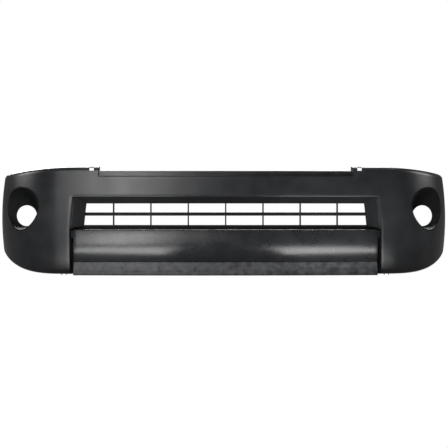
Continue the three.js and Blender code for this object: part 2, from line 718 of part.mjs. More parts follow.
/** The split body of a push rivet: a flange, a shank through the panels and a bore. */
function rivetBody(x) {
  const [px, py] = rivetPlace(x);
  const seat = DAM.top - DAM.wall - GAP;
  const top = seat + 15;
  const profile = [
    [RIVET.bore, seat - RIVET.flangeThick],
    [RIVET.flange, seat - RIVET.flangeThick],
    [RIVET.flange, seat],
    [RIVET.shank, seat],
    [RIVET.shank, top - 3],
    [RIVET.bore + 0.9, top],
    [RIVET.bore, top],
    [RIVET.bore, seat - RIVET.flangeThick],
  ];
  const geometry = new THREE.LatheGeometry(profile.map(([r, h]) => new THREE.Vector2(r, h)).reverse(), 12);
  return solidOut(geometry.rotateX(Math.PI / 2).translate(px, py, 0));
}

/** The centre pin that locks a push rivet; it pulls down to free it. */
function rivetPin(x) {
  const [px, py] = rivetPlace(x);
  const seat = DAM.top - DAM.wall - GAP - RIVET.flangeThick - GAP;
  const profile = [
    [0, seat - 1.6],
    [RIVET.pinHead * 0.8, seat - 1.6],
    [RIVET.pinHead, seat - 1],
    [RIVET.pinHead, seat],
    [RIVET.pin, seat],
    [RIVET.pin, seat + 13.5],
    [RIVET.pin * 0.5, seat + 15],
    [0, seat + 15],
  ];
  const geometry = new THREE.LatheGeometry(profile.map(([r, h]) => new THREE.Vector2(r, h)), 10);
  return solidOut(geometry.rotateX(Math.PI / 2).translate(px, py, 0));
}

/** A solid from a closed geometry whose faces may point either way. */
function solidOut(geometry) {
  const shape = solid(geometry);
  if (shape.volume() > 0) return shape;
  const turned = geometry.index ? geometry.toNonIndexed() : geometry;
  const at = turned.attributes.position;
  for (let i = 0; i < at.count; i += 3) {
    const a = new THREE.Vector3().fromBufferAttribute(at, i + 1);
    const b = new THREE.Vector3().fromBufferAttribute(at, i + 2);
    at.setXYZ(i + 1, b.x, b.y, b.z);
    at.setXYZ(i + 2, a.x, a.y, a.z);
  }
  return solid(turned);
}

// ---- slot grille ----------------------------------------------------------------------------
const railTop = SLOT.top + RAIL.overlap;
const railBottom = SLOT.bottom - RAIL.overlap;
const frameHalf = planX(SLOT.bottomHalf + 14, SLOT.back);
const finX = Array.from({ length: FIN_COUNT }, (_, i) => (i - (FIN_COUNT - 1) / 2) * FIN_PITCH);

/** The part of the bar behind the slot, whose ends lie in the posts; with room round it, its socket. */
function barTail(room = 0) {
  const high = BAR.middle + BAR.height / 2 + room;
  const low = BAR.middle - BAR.height / 2 - room;
  return sweep(stationsAcross(planX(SLOT.topHalf + BAR.tongue + room, RAIL.front), 14), () => [
    [RAIL.front + room, high],
    [RAIL.front + room, low],
    [BAR.back - room, low + 2],
    [BAR.back - room, high - 2],
  ]);
}

/** The one horizontal bar: its nose stands in the slot and its tail lies behind. */
function grilleBar() {
  const nose = sweep(stationsAcross(planX(SLOT.topHalf + 1, BAR.front), 14), () => [
    [RAIL.front - 1, BAR.middle + BAR.height / 2],
    [BAR.front, BAR.middle + BAR.height / 4],
    [BAR.front, BAR.middle - BAR.height / 4],
    [RAIL.front - 1, BAR.middle - BAR.height / 2],
  ]);
  return nose.add(barTail());
}

/** The block of an upright fin; with room round it, the notch in which the fin's ends stand. */
function finBlock(x, room = 0) {
  const depth = RAIL.front - RAIL.back - 1 + 8 * room;
  const height = railTop - railBottom + 2 * FIN_SOCKET + 2 * room;
  const geometry = new THREE.BoxGeometry(FIN_WIDTH + 2 * room, height, depth);
  const at = station(distanceAt(planX(x, RAIL.front)));
  return atStation(geometry, at, (RAIL.front + RAIL.back) / 2, (railTop + railBottom) / 2);
}

/** An upright fin, halved where the bar crosses it. */
const grilleFin = (x) => finBlock(x).subtract(barTail(GAP));

/** The frame behind the slot's edge, with sockets for the bar and the fins. */
function grilleFrame() {
  const across = stationsAcross(frameHalf, 14);
  const rail = (low, high) =>
    sweep(across, () => [
      [RAIL.front, high],
      [RAIL.front, low],
      [RAIL.back, low],
      [RAIL.back, high],
    ]);
  const postOutline = [
    [SLOT.topHalf + RAIL.overlap, railTop + 2],
    [SLOT.bottomHalf + RAIL.overlap, railBottom - 2],
    [frameHalf - 0.5, railBottom - 2],
    [frameHalf - 0.5, railTop + 2],
  ];
  const postBlock = sweep(stationsBetween(SLOT.topHalf - 6, frameHalf, 2), () => [
    [RAIL.front, railTop + 2],
    [RAIL.front, railBottom - 2],
    [RAIL.back, railBottom - 2],
    [RAIL.back, railTop + 2],
  ]);
  const post = postBlock.intersect(frontPrism(polygon(postOutline), 0, 260));
  const body = joined([
    rail(railTop, railTop + RAIL.height),
    rail(railBottom - RAIL.height, railBottom),
    ...bothHands(post),
  ]);
  const holes = GRILLE_SCREWS.map(({ x, z }) =>
    atStation(rod(SCREW.clear, RAIL.back - 3, RAIL.front + 3), station(distanceAt(x)), 0, z),
  );
  return cut(body, [...holes.flatMap(bothHands), barTail(GAP), ...finX.map((x) => finBlock(x, GAP))]);
}

// ---- fog-lamp bezel -------------------------------------------------------------------------
/** A point of the lamp's ring at an angle, radius and distance behind its front plane. */
function ringPoint(angle, radius, behind) {
  const across = new THREE.Vector3(Math.cos(LAMP.tilt), Math.sin(LAMP.tilt), 0);
  const back = new THREE.Vector3(-Math.sin(LAMP.tilt), Math.cos(LAMP.tilt), 0);
  return new THREE.Vector3(LAMP.x, LAMP.y, LAMP.z)
    .addScaledVector(across, radius * Math.cos(angle))
    .addScaledVector(new THREE.Vector3(0, 0, 1), radius * Math.sin(angle))
    .addScaledVector(back, behind);
}

/** The scooped bezel from the skin's opening down to the lamp's ring. */
function fogBezel() {
  const angles = spaced(0, 2 * Math.PI, 28).slice(0, -1);
  const rings = angles.map((angle) => {
    const at = (grow, depth) => skinPoint(...scoopPoint(angle, grow), depth);
    const rim = at(-1 - BEZEL_WALL, 0.8);
    const seat = ringPoint(angle, LAMP.radius, 0);
    const funnel = (push, radial) =>
      [1 / 3, 2 / 3, 1].map((t) => {
        const inward = t ** 1.25;
        const point = new THREE.Vector3(
          THREE.MathUtils.lerp(rim.x, seat.x, inward),
          THREE.MathUtils.lerp(rim.y, seat.y, Math.sin((t * Math.PI) / 2)),
          THREE.MathUtils.lerp(rim.z, seat.z, inward),
        );
        return point.add(new THREE.Vector3(radial * Math.cos(angle), push, radial * Math.sin(angle)));
      });
    return [
      at(7, WALL + 1.2),
      at(-1, WALL + 1.2),
      at(-1, 0.8),
      rim,
      ...funnel(0, 0),
      ringPoint(angle, LAMP.radius, LAMP.rim),
      ringPoint(angle, LAMP.radius + LAMP.rim, LAMP.rim),
      ...funnel(2.4, 2).reverse(),
      at(-1 - BEZEL_WALL, WALL + 1.2 + BEZEL_WALL),
      at(7, WALL + 1.2 + BEZEL_WALL),
    ];
  });
  const shell = solid(loft(rings, { closed: true }));
  return joined([shell, ...bezelFixings().map(bezelEar)]);
}

/** A stepped ear that lands on one of the skin's posts. */
function bezelEar({ place, z, angle, face }) {
  const back = -EAR.post - GAP - BEZEL_WALL;
  const plate = rod(EAR.radius, back, back + BEZEL_WALL);
  const arm = new THREE.BoxGeometry(13, 9, BEZEL_WALL).translate(-6.5, 0, back + BEZEL_WALL / 2);
  const rise = -WALL - 2 - back;
  const riser = new THREE.BoxGeometry(3, 9, rise).translate(-11.5, 0, back + rise / 2);
  const parts = [plate, arm.rotateZ(angle), riser.rotateZ(angle)];
  const ear = joined(parts.map((geometry) => atStation(geometry, place, face, z)));
  return ear.subtract(atStation(rod(SCREW.clear, -30, 0), place, face, z));
}

// ---- lower stays ----------------------------------------------------------------------------
function stayFrame() {
  const at = station(distanceAt(STAY.x));
  const bottom = podBottom(at.x + STAY.width / 2) + WALL + GAP;
  const inward = -faceOffset(at.x, podBottom(at.x) + ROLL) + ROLL + 2;
  return { at, bottom, inward };
}

function stayScrewHole(aside) {
  const { at, bottom, inward } = stayFrame();
  return drill(SCREW.clear, 30, setOff(at, -inward - STAY.screwIn, aside), bottom);
}

/** A strap that stands on the pod's lower flange and runs back to the body. */
function lowerStay() {
  const { at, bottom, inward } = stayFrame();
  const line = [
    [-inward + 1, bottom],
    [-inward - 26, bottom],
    [-inward - 40, bottom + STAY.step],
    [-inward - STAY.length, bottom + STAY.step],
  ];
  const profile = wall(line, STAY.wall);
  const half = STAY.width / 2;
  const rings = [-half, half].map((aside) =>
    profile.map(([outward, z]) => new THREE.Vector3(...setOff(at, outward, aside), z)),
  );
  const strap = solid(loft(rings, { outline: profile }));
  const boltPlace = setOff(at, -inward - STAY.length + STAY_BOLT.fromEnd);
  const boltHole = drill(STAY_BOLT.radius, 20, boltPlace, bottom + STAY.step);
  return cut(strap, [boltHole, ...STAY.screwsAside.map(stayScrewHole)]);
}

function stayScrew(aside) {
  const { at, bottom, inward } = stayFrame();
  return uprightScrew(setOff(at, -inward - STAY.screwIn, aside), bottom + STAY.wall + GAP, 11);
}

// ---- the whole cover ------------------------------------------------------------------------
const cover = new THREE.Group();
const hung = new THREE.Group();
const seatY = -(SEAT_FACE - SEAT_DEPTH / 2);
hung.position.set(0, -seatY, -SEAT_TOP);
cover.add(hung);

function addPair(name, shape, material) {
  hung.add(piece(`${name}_right`, shape, material));
  hung.add(piece(`${name}_left`, mirrored(shape), material));
}

hung.add(piece("bumper_skin", bumperSkin(), grainedPlastic));
hung.add(piece("lower_lip_panel", lipPanel(), smoothPlastic));
hung.add(piece("air_dam", airDam(), damRubber));
hung.add(piece("slot_grille", grilleFrame(), bezelPlastic));
hung.add(piece("grille_bar", grilleBar(), bezelPlastic));
finX.forEach((x, i) => hung.add(piece(`grille_fin_${i + 1}`, grilleFin(x), bezelPlastic)));
addPair("fog_bezel", fogBezel(), bezelPlastic);
addPair("side_retainer", sideRetainer(), nylon);
addPair("upper_retainer", upperRetainer(), coatedSteel);
addPair("lower_stay", lowerStay(), coatedSteel);
RIVET_X.forEach((x, i) => {
  addPair(`dam_rivet_${i + 1}`, rivetBody(x), nylon);
  addPair(`dam_rivet_pin_${i + 1}`, rivetPin(x), nylon);
});
RETAINER_SCREW_Y.forEach((y, i) => addPair(`retainer_screw_${i + 1}`, retainerScrew(y), zincSteel));
bezelFixings().forEach(({ place, z, face }, i) => {
  const seat = face - EAR.post - BEZEL_WALL - 2 * GAP;
  addPair(`bezel_screw_${i + 1}`, screwAt(place, seat, z, 8.5), zincSteel);
});
GRILLE_SCREWS.forEach(({ x, z }, i) => {
  const screw = screwAt(station(distanceAt(x)), RAIL.back - GAP, z, 16);
  addPair(`grille_screw_${i + 1}`, screw, zincSteel);
});
LIP_BOSS.x.forEach((x, i) => {
  const screw = screwAt(station(distanceAt(x)), CROSS_RAIL - GAP, LIP_BOSS.z, 12);
  addPair(`lip_screw_${i + 1}`, screw, zincSteel);
});
STAY.screwsAside.forEach((aside, i) => addPair(`stay_screw_${i + 1}`, stayScrew(aside), zincSteel));

export default cover;
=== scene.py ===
"""Studio scene of a front bumper cover: fine surfaces, moulded-plastic finishes, light and camera.

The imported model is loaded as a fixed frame. Each class below builds the fine surface of one
sub-assembly in the same frame, in metres, and dresses it with a procedural finish.
"""

from __future__ import annotations

import json
import logging
import math
from collections.abc import Callable, Iterator, Sequence
from contextlib import contextmanager
from dataclasses import dataclass
from enum import Enum
from functools import cached_property, partial
from typing import Any, ClassVar

import bpy
from mathutils import Matrix, Vector
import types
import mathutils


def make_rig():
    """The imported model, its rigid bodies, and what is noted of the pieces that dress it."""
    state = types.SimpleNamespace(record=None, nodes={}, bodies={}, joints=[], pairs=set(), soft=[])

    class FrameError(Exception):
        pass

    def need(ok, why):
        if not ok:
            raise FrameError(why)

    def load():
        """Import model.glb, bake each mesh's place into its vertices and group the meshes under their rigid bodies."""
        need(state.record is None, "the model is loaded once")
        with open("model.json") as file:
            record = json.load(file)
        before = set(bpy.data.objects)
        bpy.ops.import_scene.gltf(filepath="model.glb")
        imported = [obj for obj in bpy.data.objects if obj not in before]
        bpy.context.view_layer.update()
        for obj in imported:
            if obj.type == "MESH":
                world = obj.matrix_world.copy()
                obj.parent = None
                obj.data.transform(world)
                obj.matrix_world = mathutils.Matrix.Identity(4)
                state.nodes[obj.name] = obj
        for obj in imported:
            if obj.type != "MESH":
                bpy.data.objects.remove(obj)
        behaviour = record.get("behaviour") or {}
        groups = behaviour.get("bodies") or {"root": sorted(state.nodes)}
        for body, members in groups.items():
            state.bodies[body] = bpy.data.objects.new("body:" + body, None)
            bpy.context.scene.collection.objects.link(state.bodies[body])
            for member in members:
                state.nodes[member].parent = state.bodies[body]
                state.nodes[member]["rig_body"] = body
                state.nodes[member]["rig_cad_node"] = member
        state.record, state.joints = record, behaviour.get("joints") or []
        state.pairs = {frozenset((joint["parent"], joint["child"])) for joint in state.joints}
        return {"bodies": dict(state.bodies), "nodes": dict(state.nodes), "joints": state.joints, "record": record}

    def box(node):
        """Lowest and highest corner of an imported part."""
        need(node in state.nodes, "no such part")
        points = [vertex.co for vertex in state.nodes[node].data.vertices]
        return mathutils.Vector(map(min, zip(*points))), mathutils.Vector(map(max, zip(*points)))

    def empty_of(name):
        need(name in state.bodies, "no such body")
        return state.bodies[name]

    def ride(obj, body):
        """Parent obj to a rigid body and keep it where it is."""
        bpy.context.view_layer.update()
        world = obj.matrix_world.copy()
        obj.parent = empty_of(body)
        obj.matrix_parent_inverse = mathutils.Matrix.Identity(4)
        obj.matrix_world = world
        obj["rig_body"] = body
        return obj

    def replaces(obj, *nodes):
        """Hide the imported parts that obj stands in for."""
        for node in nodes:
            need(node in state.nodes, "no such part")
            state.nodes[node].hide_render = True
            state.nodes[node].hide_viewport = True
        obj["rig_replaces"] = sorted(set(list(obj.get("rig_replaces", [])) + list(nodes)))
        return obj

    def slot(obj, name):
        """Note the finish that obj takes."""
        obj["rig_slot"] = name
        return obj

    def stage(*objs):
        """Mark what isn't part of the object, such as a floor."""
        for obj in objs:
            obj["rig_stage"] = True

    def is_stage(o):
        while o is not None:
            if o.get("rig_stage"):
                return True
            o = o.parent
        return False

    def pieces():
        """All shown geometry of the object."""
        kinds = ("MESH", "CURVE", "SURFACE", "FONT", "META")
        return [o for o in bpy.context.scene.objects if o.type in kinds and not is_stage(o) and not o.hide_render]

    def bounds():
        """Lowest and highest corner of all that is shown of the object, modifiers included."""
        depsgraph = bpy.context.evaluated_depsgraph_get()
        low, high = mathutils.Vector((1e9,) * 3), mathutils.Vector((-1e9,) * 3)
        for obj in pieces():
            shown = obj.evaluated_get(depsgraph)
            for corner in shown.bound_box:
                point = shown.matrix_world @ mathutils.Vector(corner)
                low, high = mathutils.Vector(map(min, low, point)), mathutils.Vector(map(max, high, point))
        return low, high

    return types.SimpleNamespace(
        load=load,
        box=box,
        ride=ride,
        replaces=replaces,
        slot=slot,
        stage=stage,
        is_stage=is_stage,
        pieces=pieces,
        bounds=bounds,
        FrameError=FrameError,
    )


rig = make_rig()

LOG = logging.getLogger("bumper_cover")
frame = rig.load()
CAD_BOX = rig.bounds()
BODY = "cover"
MM = 0.001
SIZE_FILE = "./self.json"

HANDS = (-1, 1)
FORWARD = Vector((0, -1, 0))
UP = Vector((0, 0, 1))

Obj = bpy.types.Object
Tree = bpy.types.NodeTree
Pair = tuple[float, float]
Place = Callable[[int, int], Vector]


# ---- shape of the cover ------------------------------------------------------------------------
def spaced(start: float, stop: float, steps: int) -> list[float]:
    """Evenly spaced numbers from start to stop, both included."""
    return [start + (stop - start) * i / steps for i in range(steps + 1)]


def mix(a: float, b: float, share: float) -> float:
    """The number a share of the way from a to b."""
    return a + (b - a) * share


def smooth(value: float, low: float, high: float) -> float:
    """Smooth rise from 0 at low to 1 at high."""
    t = min(1.0, max(0.0, (value - low) / (high - low)))
    return t * t * (3 - 2 * t)


def arc(centre: Pair, radius: float, start: float, stop: float, steps: int) -> list[Pair]:
    """Points on an arc between two angles in degrees."""
    turns = [math.radians(a) for a in spaced(start, stop, steps)]
    return [(centre[0] + radius * math.cos(a), centre[1] + radius * math.sin(a)) for a in turns]


@dataclass(frozen=True)
class Station:
    """A place on the plan line: its point, outward normal and direction along the line."""

    x: float
    y: float
    out: Vector
    along: Vector


@dataclass(frozen=True)
class PlanLine:
    """The cover seen from above: a shallow front arc, a corner arc and a straight side."""

    front_radius: float = 3300 * MM
    corner_start: float = 645 * MM
    corner_radius: float = 288 * MM
    side_angle: float = math.radians(86)
    depth: float = 520 * MM

    @cached_property
    def front_turn(self) -> float:
        """Angle of the outward normal where the corner starts."""
        return math.asin(self.corner_start / self.front_radius)

    @cached_property
    def front_length(self) -> float:
        """Length of half the front arc."""
        return self.front_radius * self.front_turn

    @cached_property
    def corner_length(self) -> float:
        """Length of the corner arc."""
        return self.corner_radius * (self.side_angle - self.front_turn)

    @cached_property
    def corner_y(self) -> float:
        """How far back the corner starts."""
        return self.front_radius * (1 - math.cos(self.front_turn))

    def corner_point(self, turn: float) -> Pair:
        """Plan position on the corner arc where the outward normal has a turn."""
        across = math.sin(turn) - math.sin(self.front_turn)
        back = math.cos(self.front_turn) - math.cos(turn)
        return self.corner_start + self.corner_radius * across, self.corner_y + self.corner_radius * back

    @cached_property
    def side_start(self) -> Pair:
        """Plan position where the straight side starts."""
        return self.corner_point(self.side_angle)

    @cached_property
    def half_width(self) -> float:
        """Half the width at the rear end of the sides."""
        x, y = self.side_start
        return x + (self.depth - y) / math.tan(self.side_angle)

    def side_distance(self, y: float) -> float:
        """Distance along the line to the point of the straight side at a depth."""
        along_side = (y - self.side_start[1]) / math.sin(self.side_angle)
        return self.front_length + self.corner_length + along_side

    def station(self, distance: float) -> Station:
        """The place at a signed distance along the line, negative to the left.

        Args:
            distance: metres along the line from the middle of the front.

        Returns:
            The station, with unit vectors that lie flat.
        """
        hand, s = (-1.0 if distance < 0 else 1.0), abs(distance)
        if s < self.front_length:
            turn = s / self.front_radius
            x, y = self.front_radius * math.sin(turn), self.front_radius * (1 - math.cos(turn))
        elif s < self.front_length + self.corner_length:
            turn = self.front_turn + (s - self.front_length) / self.corner_radius
            x, y = self.corner_point(turn)
        else:
            turn, rest = self.side_angle, s - self.front_length - self.corner_length
            x = self.side_start[0] + rest * math.cos(turn)
            y = self.side_start[1] + rest * math.sin(turn)
        out = Vector((hand * math.sin(turn), -math.cos(turn), 0.0))
        along = Vector((math.cos(turn), hand * math.sin(turn), 0.0))
        return Station(hand * x, y, out, along)

    def distance_at(self, x: float) -> float:
        """Distance along the line to its point at a frontal position on the front or corner arc."""
        a, hand = abs(x), (-1.0 if x < 0 else 1.0)
        if a <= self.corner_start:
            return hand * self.front_radius * math.asin(a / self.front_radius)
        turn = math.asin(math.sin(self.front_turn) + (a - self.corner_start) / self.corner_radius)
        return hand * (self.front_length + self.corner_radius * (turn - self.front_turn))

    def plan_x(self, x: float, outward: float) -> float:
        """Plan-line x of a point of the front that stands at x once offset outwards."""
        return x / (1 + outward / self.front_radius)


@dataclass(frozen=True)
class CoverShape:
    """The driving heights and depths of the cover, measured up from the air dam's lower edge."""

    plan: PlanLine = PlanLine()
    wall: float = 3.2 * MM
    pod_top: float = 417 * MM
    pod_top_drop: float = 22 * MM
    pod_top_shoulder: float = 575 * MM
    pod_top_run: float = 275 * MM
    pod_bottom: float = 5 * MM
    pod_bottom_rise: float = 130 * MM
    pod_bottom_square: float = 0.97
    pod_bottom_power: float = 3.5
    crown: float = 14 * MM
    crown_height: float = 0.45
    roll: float = 20 * MM
    top_flange: float = 20 * MM
    bottom_flange: float = 14 * MM
    seat_half: float = 491 * MM
    seat_ledge: float = 380 * MM
    seat_top: float = 401 * MM
    seat_face: float = -23 * MM
    seat_depth: float = 30 * MM
    opening_top: float = 302 * MM
    opening_bottom: float = 176 * MM
    opening_top_half: float = 588 * MM
    opening_bottom_half: float = 600 * MM
    slot_top: float = 276 * MM
    slot_bottom: float = 193.5 * MM
    slot_top_half: float = 536 * MM
    slot_bottom_half: float = 546 * MM
    slot_back: float = -60 * MM
    panel_half: float = 588 * MM
    lamp: tuple[float, float, float] = (772 * MM, 202 * MM, 229 * MM)
    lamp_radius: float = 40.5 * MM
    lamp_tilt: float = math.radians(12)
    scoop_turn: float = math.radians(45.5)
    scoop_height: float = 256 * MM
    scoop_half: float = 93 * MM
    scoop_tall: float = 85 * MM
    scoop_taper: float = 0.16
    arch_y: float = 753 * MM
    arch_z: float = 120 * MM
    arch_radius: float = 355 * MM

    @cached_property
    def origin(self) -> Vector:
        """Shift from plan-line and floor measures to the model's own frame."""
        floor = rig.box("air_dam")[0].z
        return Vector((0.0, self.seat_face - self.seat_depth / 2, floor))

    def top_at(self, x: float) -> float:
        """Height of the pods' top at a frontal position."""
        past = max(0.0, abs(x) - self.pod_top_shoulder) / self.pod_top_run
        return self.pod_top - self.pod_top_drop * past * past

    def bottom_at(self, x: float) -> float:
        """Height of the pods' lower edge at a frontal position."""
        span = self.plan.half_width - self.opening_bottom_half
        share = min(1.0, max(0.0, (abs(x) - self.opening_bottom_half) / span))
        drop = self.pod_bottom_square * share**self.pod_bottom_power
        return self.pod_bottom + self.pod_bottom_rise * (1 - math.sqrt(1 - drop))

    def face(self, x: float, z: float) -> float:
        """How far the crowned face stands outwards of the plan line."""
        low = self.bottom_at(x)
        share = (z - low) / (self.top_at(x) - low)
        return -self.crown * ((share - self.crown_height) / (1 - self.crown_height)) ** 2

    def at(self, distance: float, outward: float, z: float) -> Vector:
        """The point of the model's frame at a distance along the plan line, an offset and a height."""
        place = self.plan.station(distance)
        point = Vector((place.x, place.y, z)) + place.out * outward
        return point + self.origin

    def skin_point(self, distance: float, z: float, depth: float = 0.0) -> Vector:
        """The point of the skin's face at a distance and height, sunk inwards by a depth."""
        x = self.plan.station(distance).x
        return self.at(distance, self.face(x, z) - depth, z)

    def scoop_point(self, angle: float, grow: float = 0.0) -> Pair:
        """The scoop's outline as a distance along the plan line and a height."""
        turned = self.scoop_turn - self.plan.front_turn
        middle = self.plan.front_length + self.plan.corner_radius * turned
        half = (self.scoop_half + grow) * (1 + self.scoop_taper * math.sin(angle))
        height = self.scoop_height + (self.scoop_tall + grow) * math.sin(angle)
        return middle + half * math.cos(angle), height

    def arch_distance(self, z: float) -> float:
        """Distance along the plan line at which the wheel opening cuts the side at a height."""
        across = self.arch_radius**2 - (z - self.arch_z) ** 2
        y = min(self.plan.depth, self.arch_y - math.sqrt(max(0.0, across)))
        return self.plan.side_distance(y)


SHAPE = CoverShape()
PLAN = SHAPE.plan


# ---- modelling tools ---------------------------------------------------------------------------
class Act(Enum):
    """What is done with a second closed solid, by the name Blender gives it."""

    CUT = "DIFFERENCE"
    MERGE = "UNION"


class Stretch(Enum):
    """A stretch of the plan line, from the middle to the end of one side."""

    CENTRE = "centre"
    SHOULDER = "shoulder"
    GAP = "gap"
    CORNER = "corner"
    SIDE = "side"


def activate(obj: Obj) -> None:
    """Selects one object alone and makes it active."""
    bpy.ops.object.select_all(action="DESELECT")
    obj.select_set(True)
    bpy.context.view_layer.objects.active = obj


@contextmanager
def editing(obj: Obj, mode: str = "FACE") -> Iterator[None]:
    """Edit mode on one object with all of it selected."""
    activate(obj)
    bpy.ops.object.mode_set(mode="EDIT")
    bpy.ops.mesh.select_mode(type=mode)
    bpy.ops.mesh.select_all(action="SELECT")
    yield
    bpy.ops.object.mode_set(mode="OBJECT")


def modify(obj: Obj, kind: str, **settings: Any) -> None:
    """Adds a modifier with its settings and applies it."""
    activate(obj)
    modifier = obj.modifiers.new(kind.title(), kind)
    for name, value in settings.items():
        setattr(modifier, name, value)
    bpy.ops.object.modifier_apply(modifier=modifier.name)


def combine(obj: Obj, act: Act, other: Obj) -> None:
    """Cuts a second closed solid out of the first or merges it in, and removes it."""
    modify(obj, "BOOLEAN", operation=act.value, solver="EXACT", object=other)
    bpy.data.objects.remove(other)


def closed(obj: Obj) -> Obj:
    """Welds a tube, fills its open ends and turns its faces outwards."""
    weld(obj)
    with editing(obj, "EDGE"):
        bpy.ops.mesh.select_all(action="DESELECT")
        bpy.ops.mesh.select_non_manifold(extend=False)
        bpy.ops.mesh.fill_holes(sides=0)
        bpy.ops.mesh.select_all(action="SELECT")
        bpy.ops.mesh.normals_make_consistent(inside=False)
    return obj


def joined(name: str, pieces: Sequence[Obj]) -> Obj:
    """Joins pieces into one object with a name."""
    activate(pieces[0])
    for piece in pieces:
        piece.select_set(True)
    if len(pieces) > 1:
        bpy.ops.object.join()
    pieces[0].name = pieces[0].data.name = name
    return pieces[0]


def patch(columns: int, rows: int, place: Place, towards: Vector, probe: tuple[int, int]) -> Obj:
    """A surface patch whose corners stand where a function says.

    Args:
        columns: number of faces along the first direction.
        rows: number of faces along the second direction.
        place: gives the point of the corner in a column and a row.
        towards: the direction that the probed face must look in.
        probe: column and row of the face that is tested.

    Returns:
        The patch, its faces turned the right way.
    """
    bpy.ops.mesh.primitive_grid_add(x_subdivisions=columns, y_subdivisions=rows, size=1)
    made = bpy.context.active_object
    for vertex in made.data.vertices:
        column = round((vertex.co.x + 0.5) * columns)
        row = round((vertex.co.y + 0.5) * rows)
        vertex.co = place(column, row)
    made.data.update()
    here = place(*probe)
    right = place(probe[0] + 1, probe[1]) - here
    down = place(probe[0], probe[1] + 1) - here
    if right.cross(down).dot(towards) < 0:
        with editing(made):
            bpy.ops.mesh.flip_normals()
    return made


def weld(obj: Obj, distance: float = 0.02 * MM) -> None:
    """Merges vertices that share a place and clears faces without area."""
    with editing(obj, "VERT"):
        bpy.ops.mesh.remove_doubles(threshold=distance)
        bpy.ops.mesh.dissolve_degenerate(threshold=distance / 2)


def shade(obj: Obj, degrees: float = 32.0) -> None:
    """Smooth shading with sharp edges past an angle."""
    activate(obj)
    bpy.ops.object.shade_smooth_by_angle(angle=math.radians(degrees))


def strip(sections: Sequence[Sequence[Vector]], towards: Vector) -> Obj:
    """A patch through a row of sections of equal length."""
    rows = len(sections[0]) - 1
    middle = (len(sections) // 2 - 1 if len(sections) > 2 else 0, rows // 2)
    return patch(len(sections) - 1, rows, lambda i, j: sections[i][j], towards, middle)


def swept(distances: Sequence[float], line: Sequence[Pair], towards: Vector) -> Obj:
    """A patch of one line of offsets and heights swept along the plan line."""
    return strip([[SHAPE.at(s, d, z) for d, z in line] for s in distances], towards)


def thicken(obj: Obj, thickness: float) -> None:
    """Gives a surface a wall behind its faces."""
    modify(obj, "SOLIDIFY", thickness=thickness, offset=-1.0, use_even_offset=False)


def mirrored(obj: Obj, name: str) -> Obj:
    """A copy of an object on the other hand."""
    copy = bpy.data.objects.new(name, obj.data.copy())
    copy.data.name = name
    bpy.context.collection.objects.link(copy)
    copy.data.transform(Matrix.Scale(-1, 4, Vector((1, 0, 0))))
    with editing(copy):
        bpy.ops.mesh.flip_normals()
    return copy


def block(size: Sequence[float], bevel: float = 0.0) -> Obj:
    """A box about the origin with rounded edges."""
    bpy.ops.mesh.primitive_cube_add(size=1)
    made = bpy.context.active_object
    with editing(made):
        bpy.ops.transform.resize(value=tuple(size))
        if bevel > 0:
            bpy.ops.mesh.bevel(offset=bevel, segments=3, affect="EDGES")
    return made


def rod(radius: float, length: float) -> Obj:
    """A cylinder about the origin along Z."""
    bpy.ops.mesh.primitive_cylinder_add(radius=radius, depth=length, vertices=24)
    return bpy.context.active_object


def stand(obj: Obj, distance: float, outward: float, z: float) -> None:
    """Moves a piece's mesh to a station: its X runs along, its Z outwards and its Y up."""
    place = PLAN.station(distance)
    basis = Matrix((place.along, UP, place.out)).transposed().to_4x4()
    if basis.determinant() < 0:
        basis = Matrix((-place.along, UP, place.out)).transposed().to_4x4()
    basis.translation = SHAPE.at(distance, outward, z)
    obj.data.transform(basis)
    obj.data.update()


# ---- finishes ----------------------------------------------------------------------------------
def linear(colour: str) -> tuple[float, float, float, float]:
    """A hex sRGB colour as opaque linear RGBA."""
    channels = [int(colour[i : i + 2], 16) / 255 for i in (1, 3, 5)]
    lit = [c / 12.92 if c <= 0.04045 else ((c + 0.055) / 1.055) ** 2.4 for c in channels]
    return lit[0], lit[1], lit[2], 1.0


def add_node(tree: Tree, kind: str, links: dict[Any, Any] | None = None, **settings: Any) -> Any:
    """Adds a shader node.

    Args:
        tree: the node tree it joins.
        kind: the node's type name.
        links: input name or number to an output socket, or to a plain value.
        settings: attributes of the node.

    Returns:
        The node.
    """
    made = tree.nodes.new(kind)
    for name, value in settings.items():
        setattr(made, name, value)
    for key, source in (links or {}).items():
        if isinstance(source, bpy.types.NodeSocket):
            tree.links.new(source, made.inputs[key])
        else:
            made.inputs[key].default_value = source
    return made


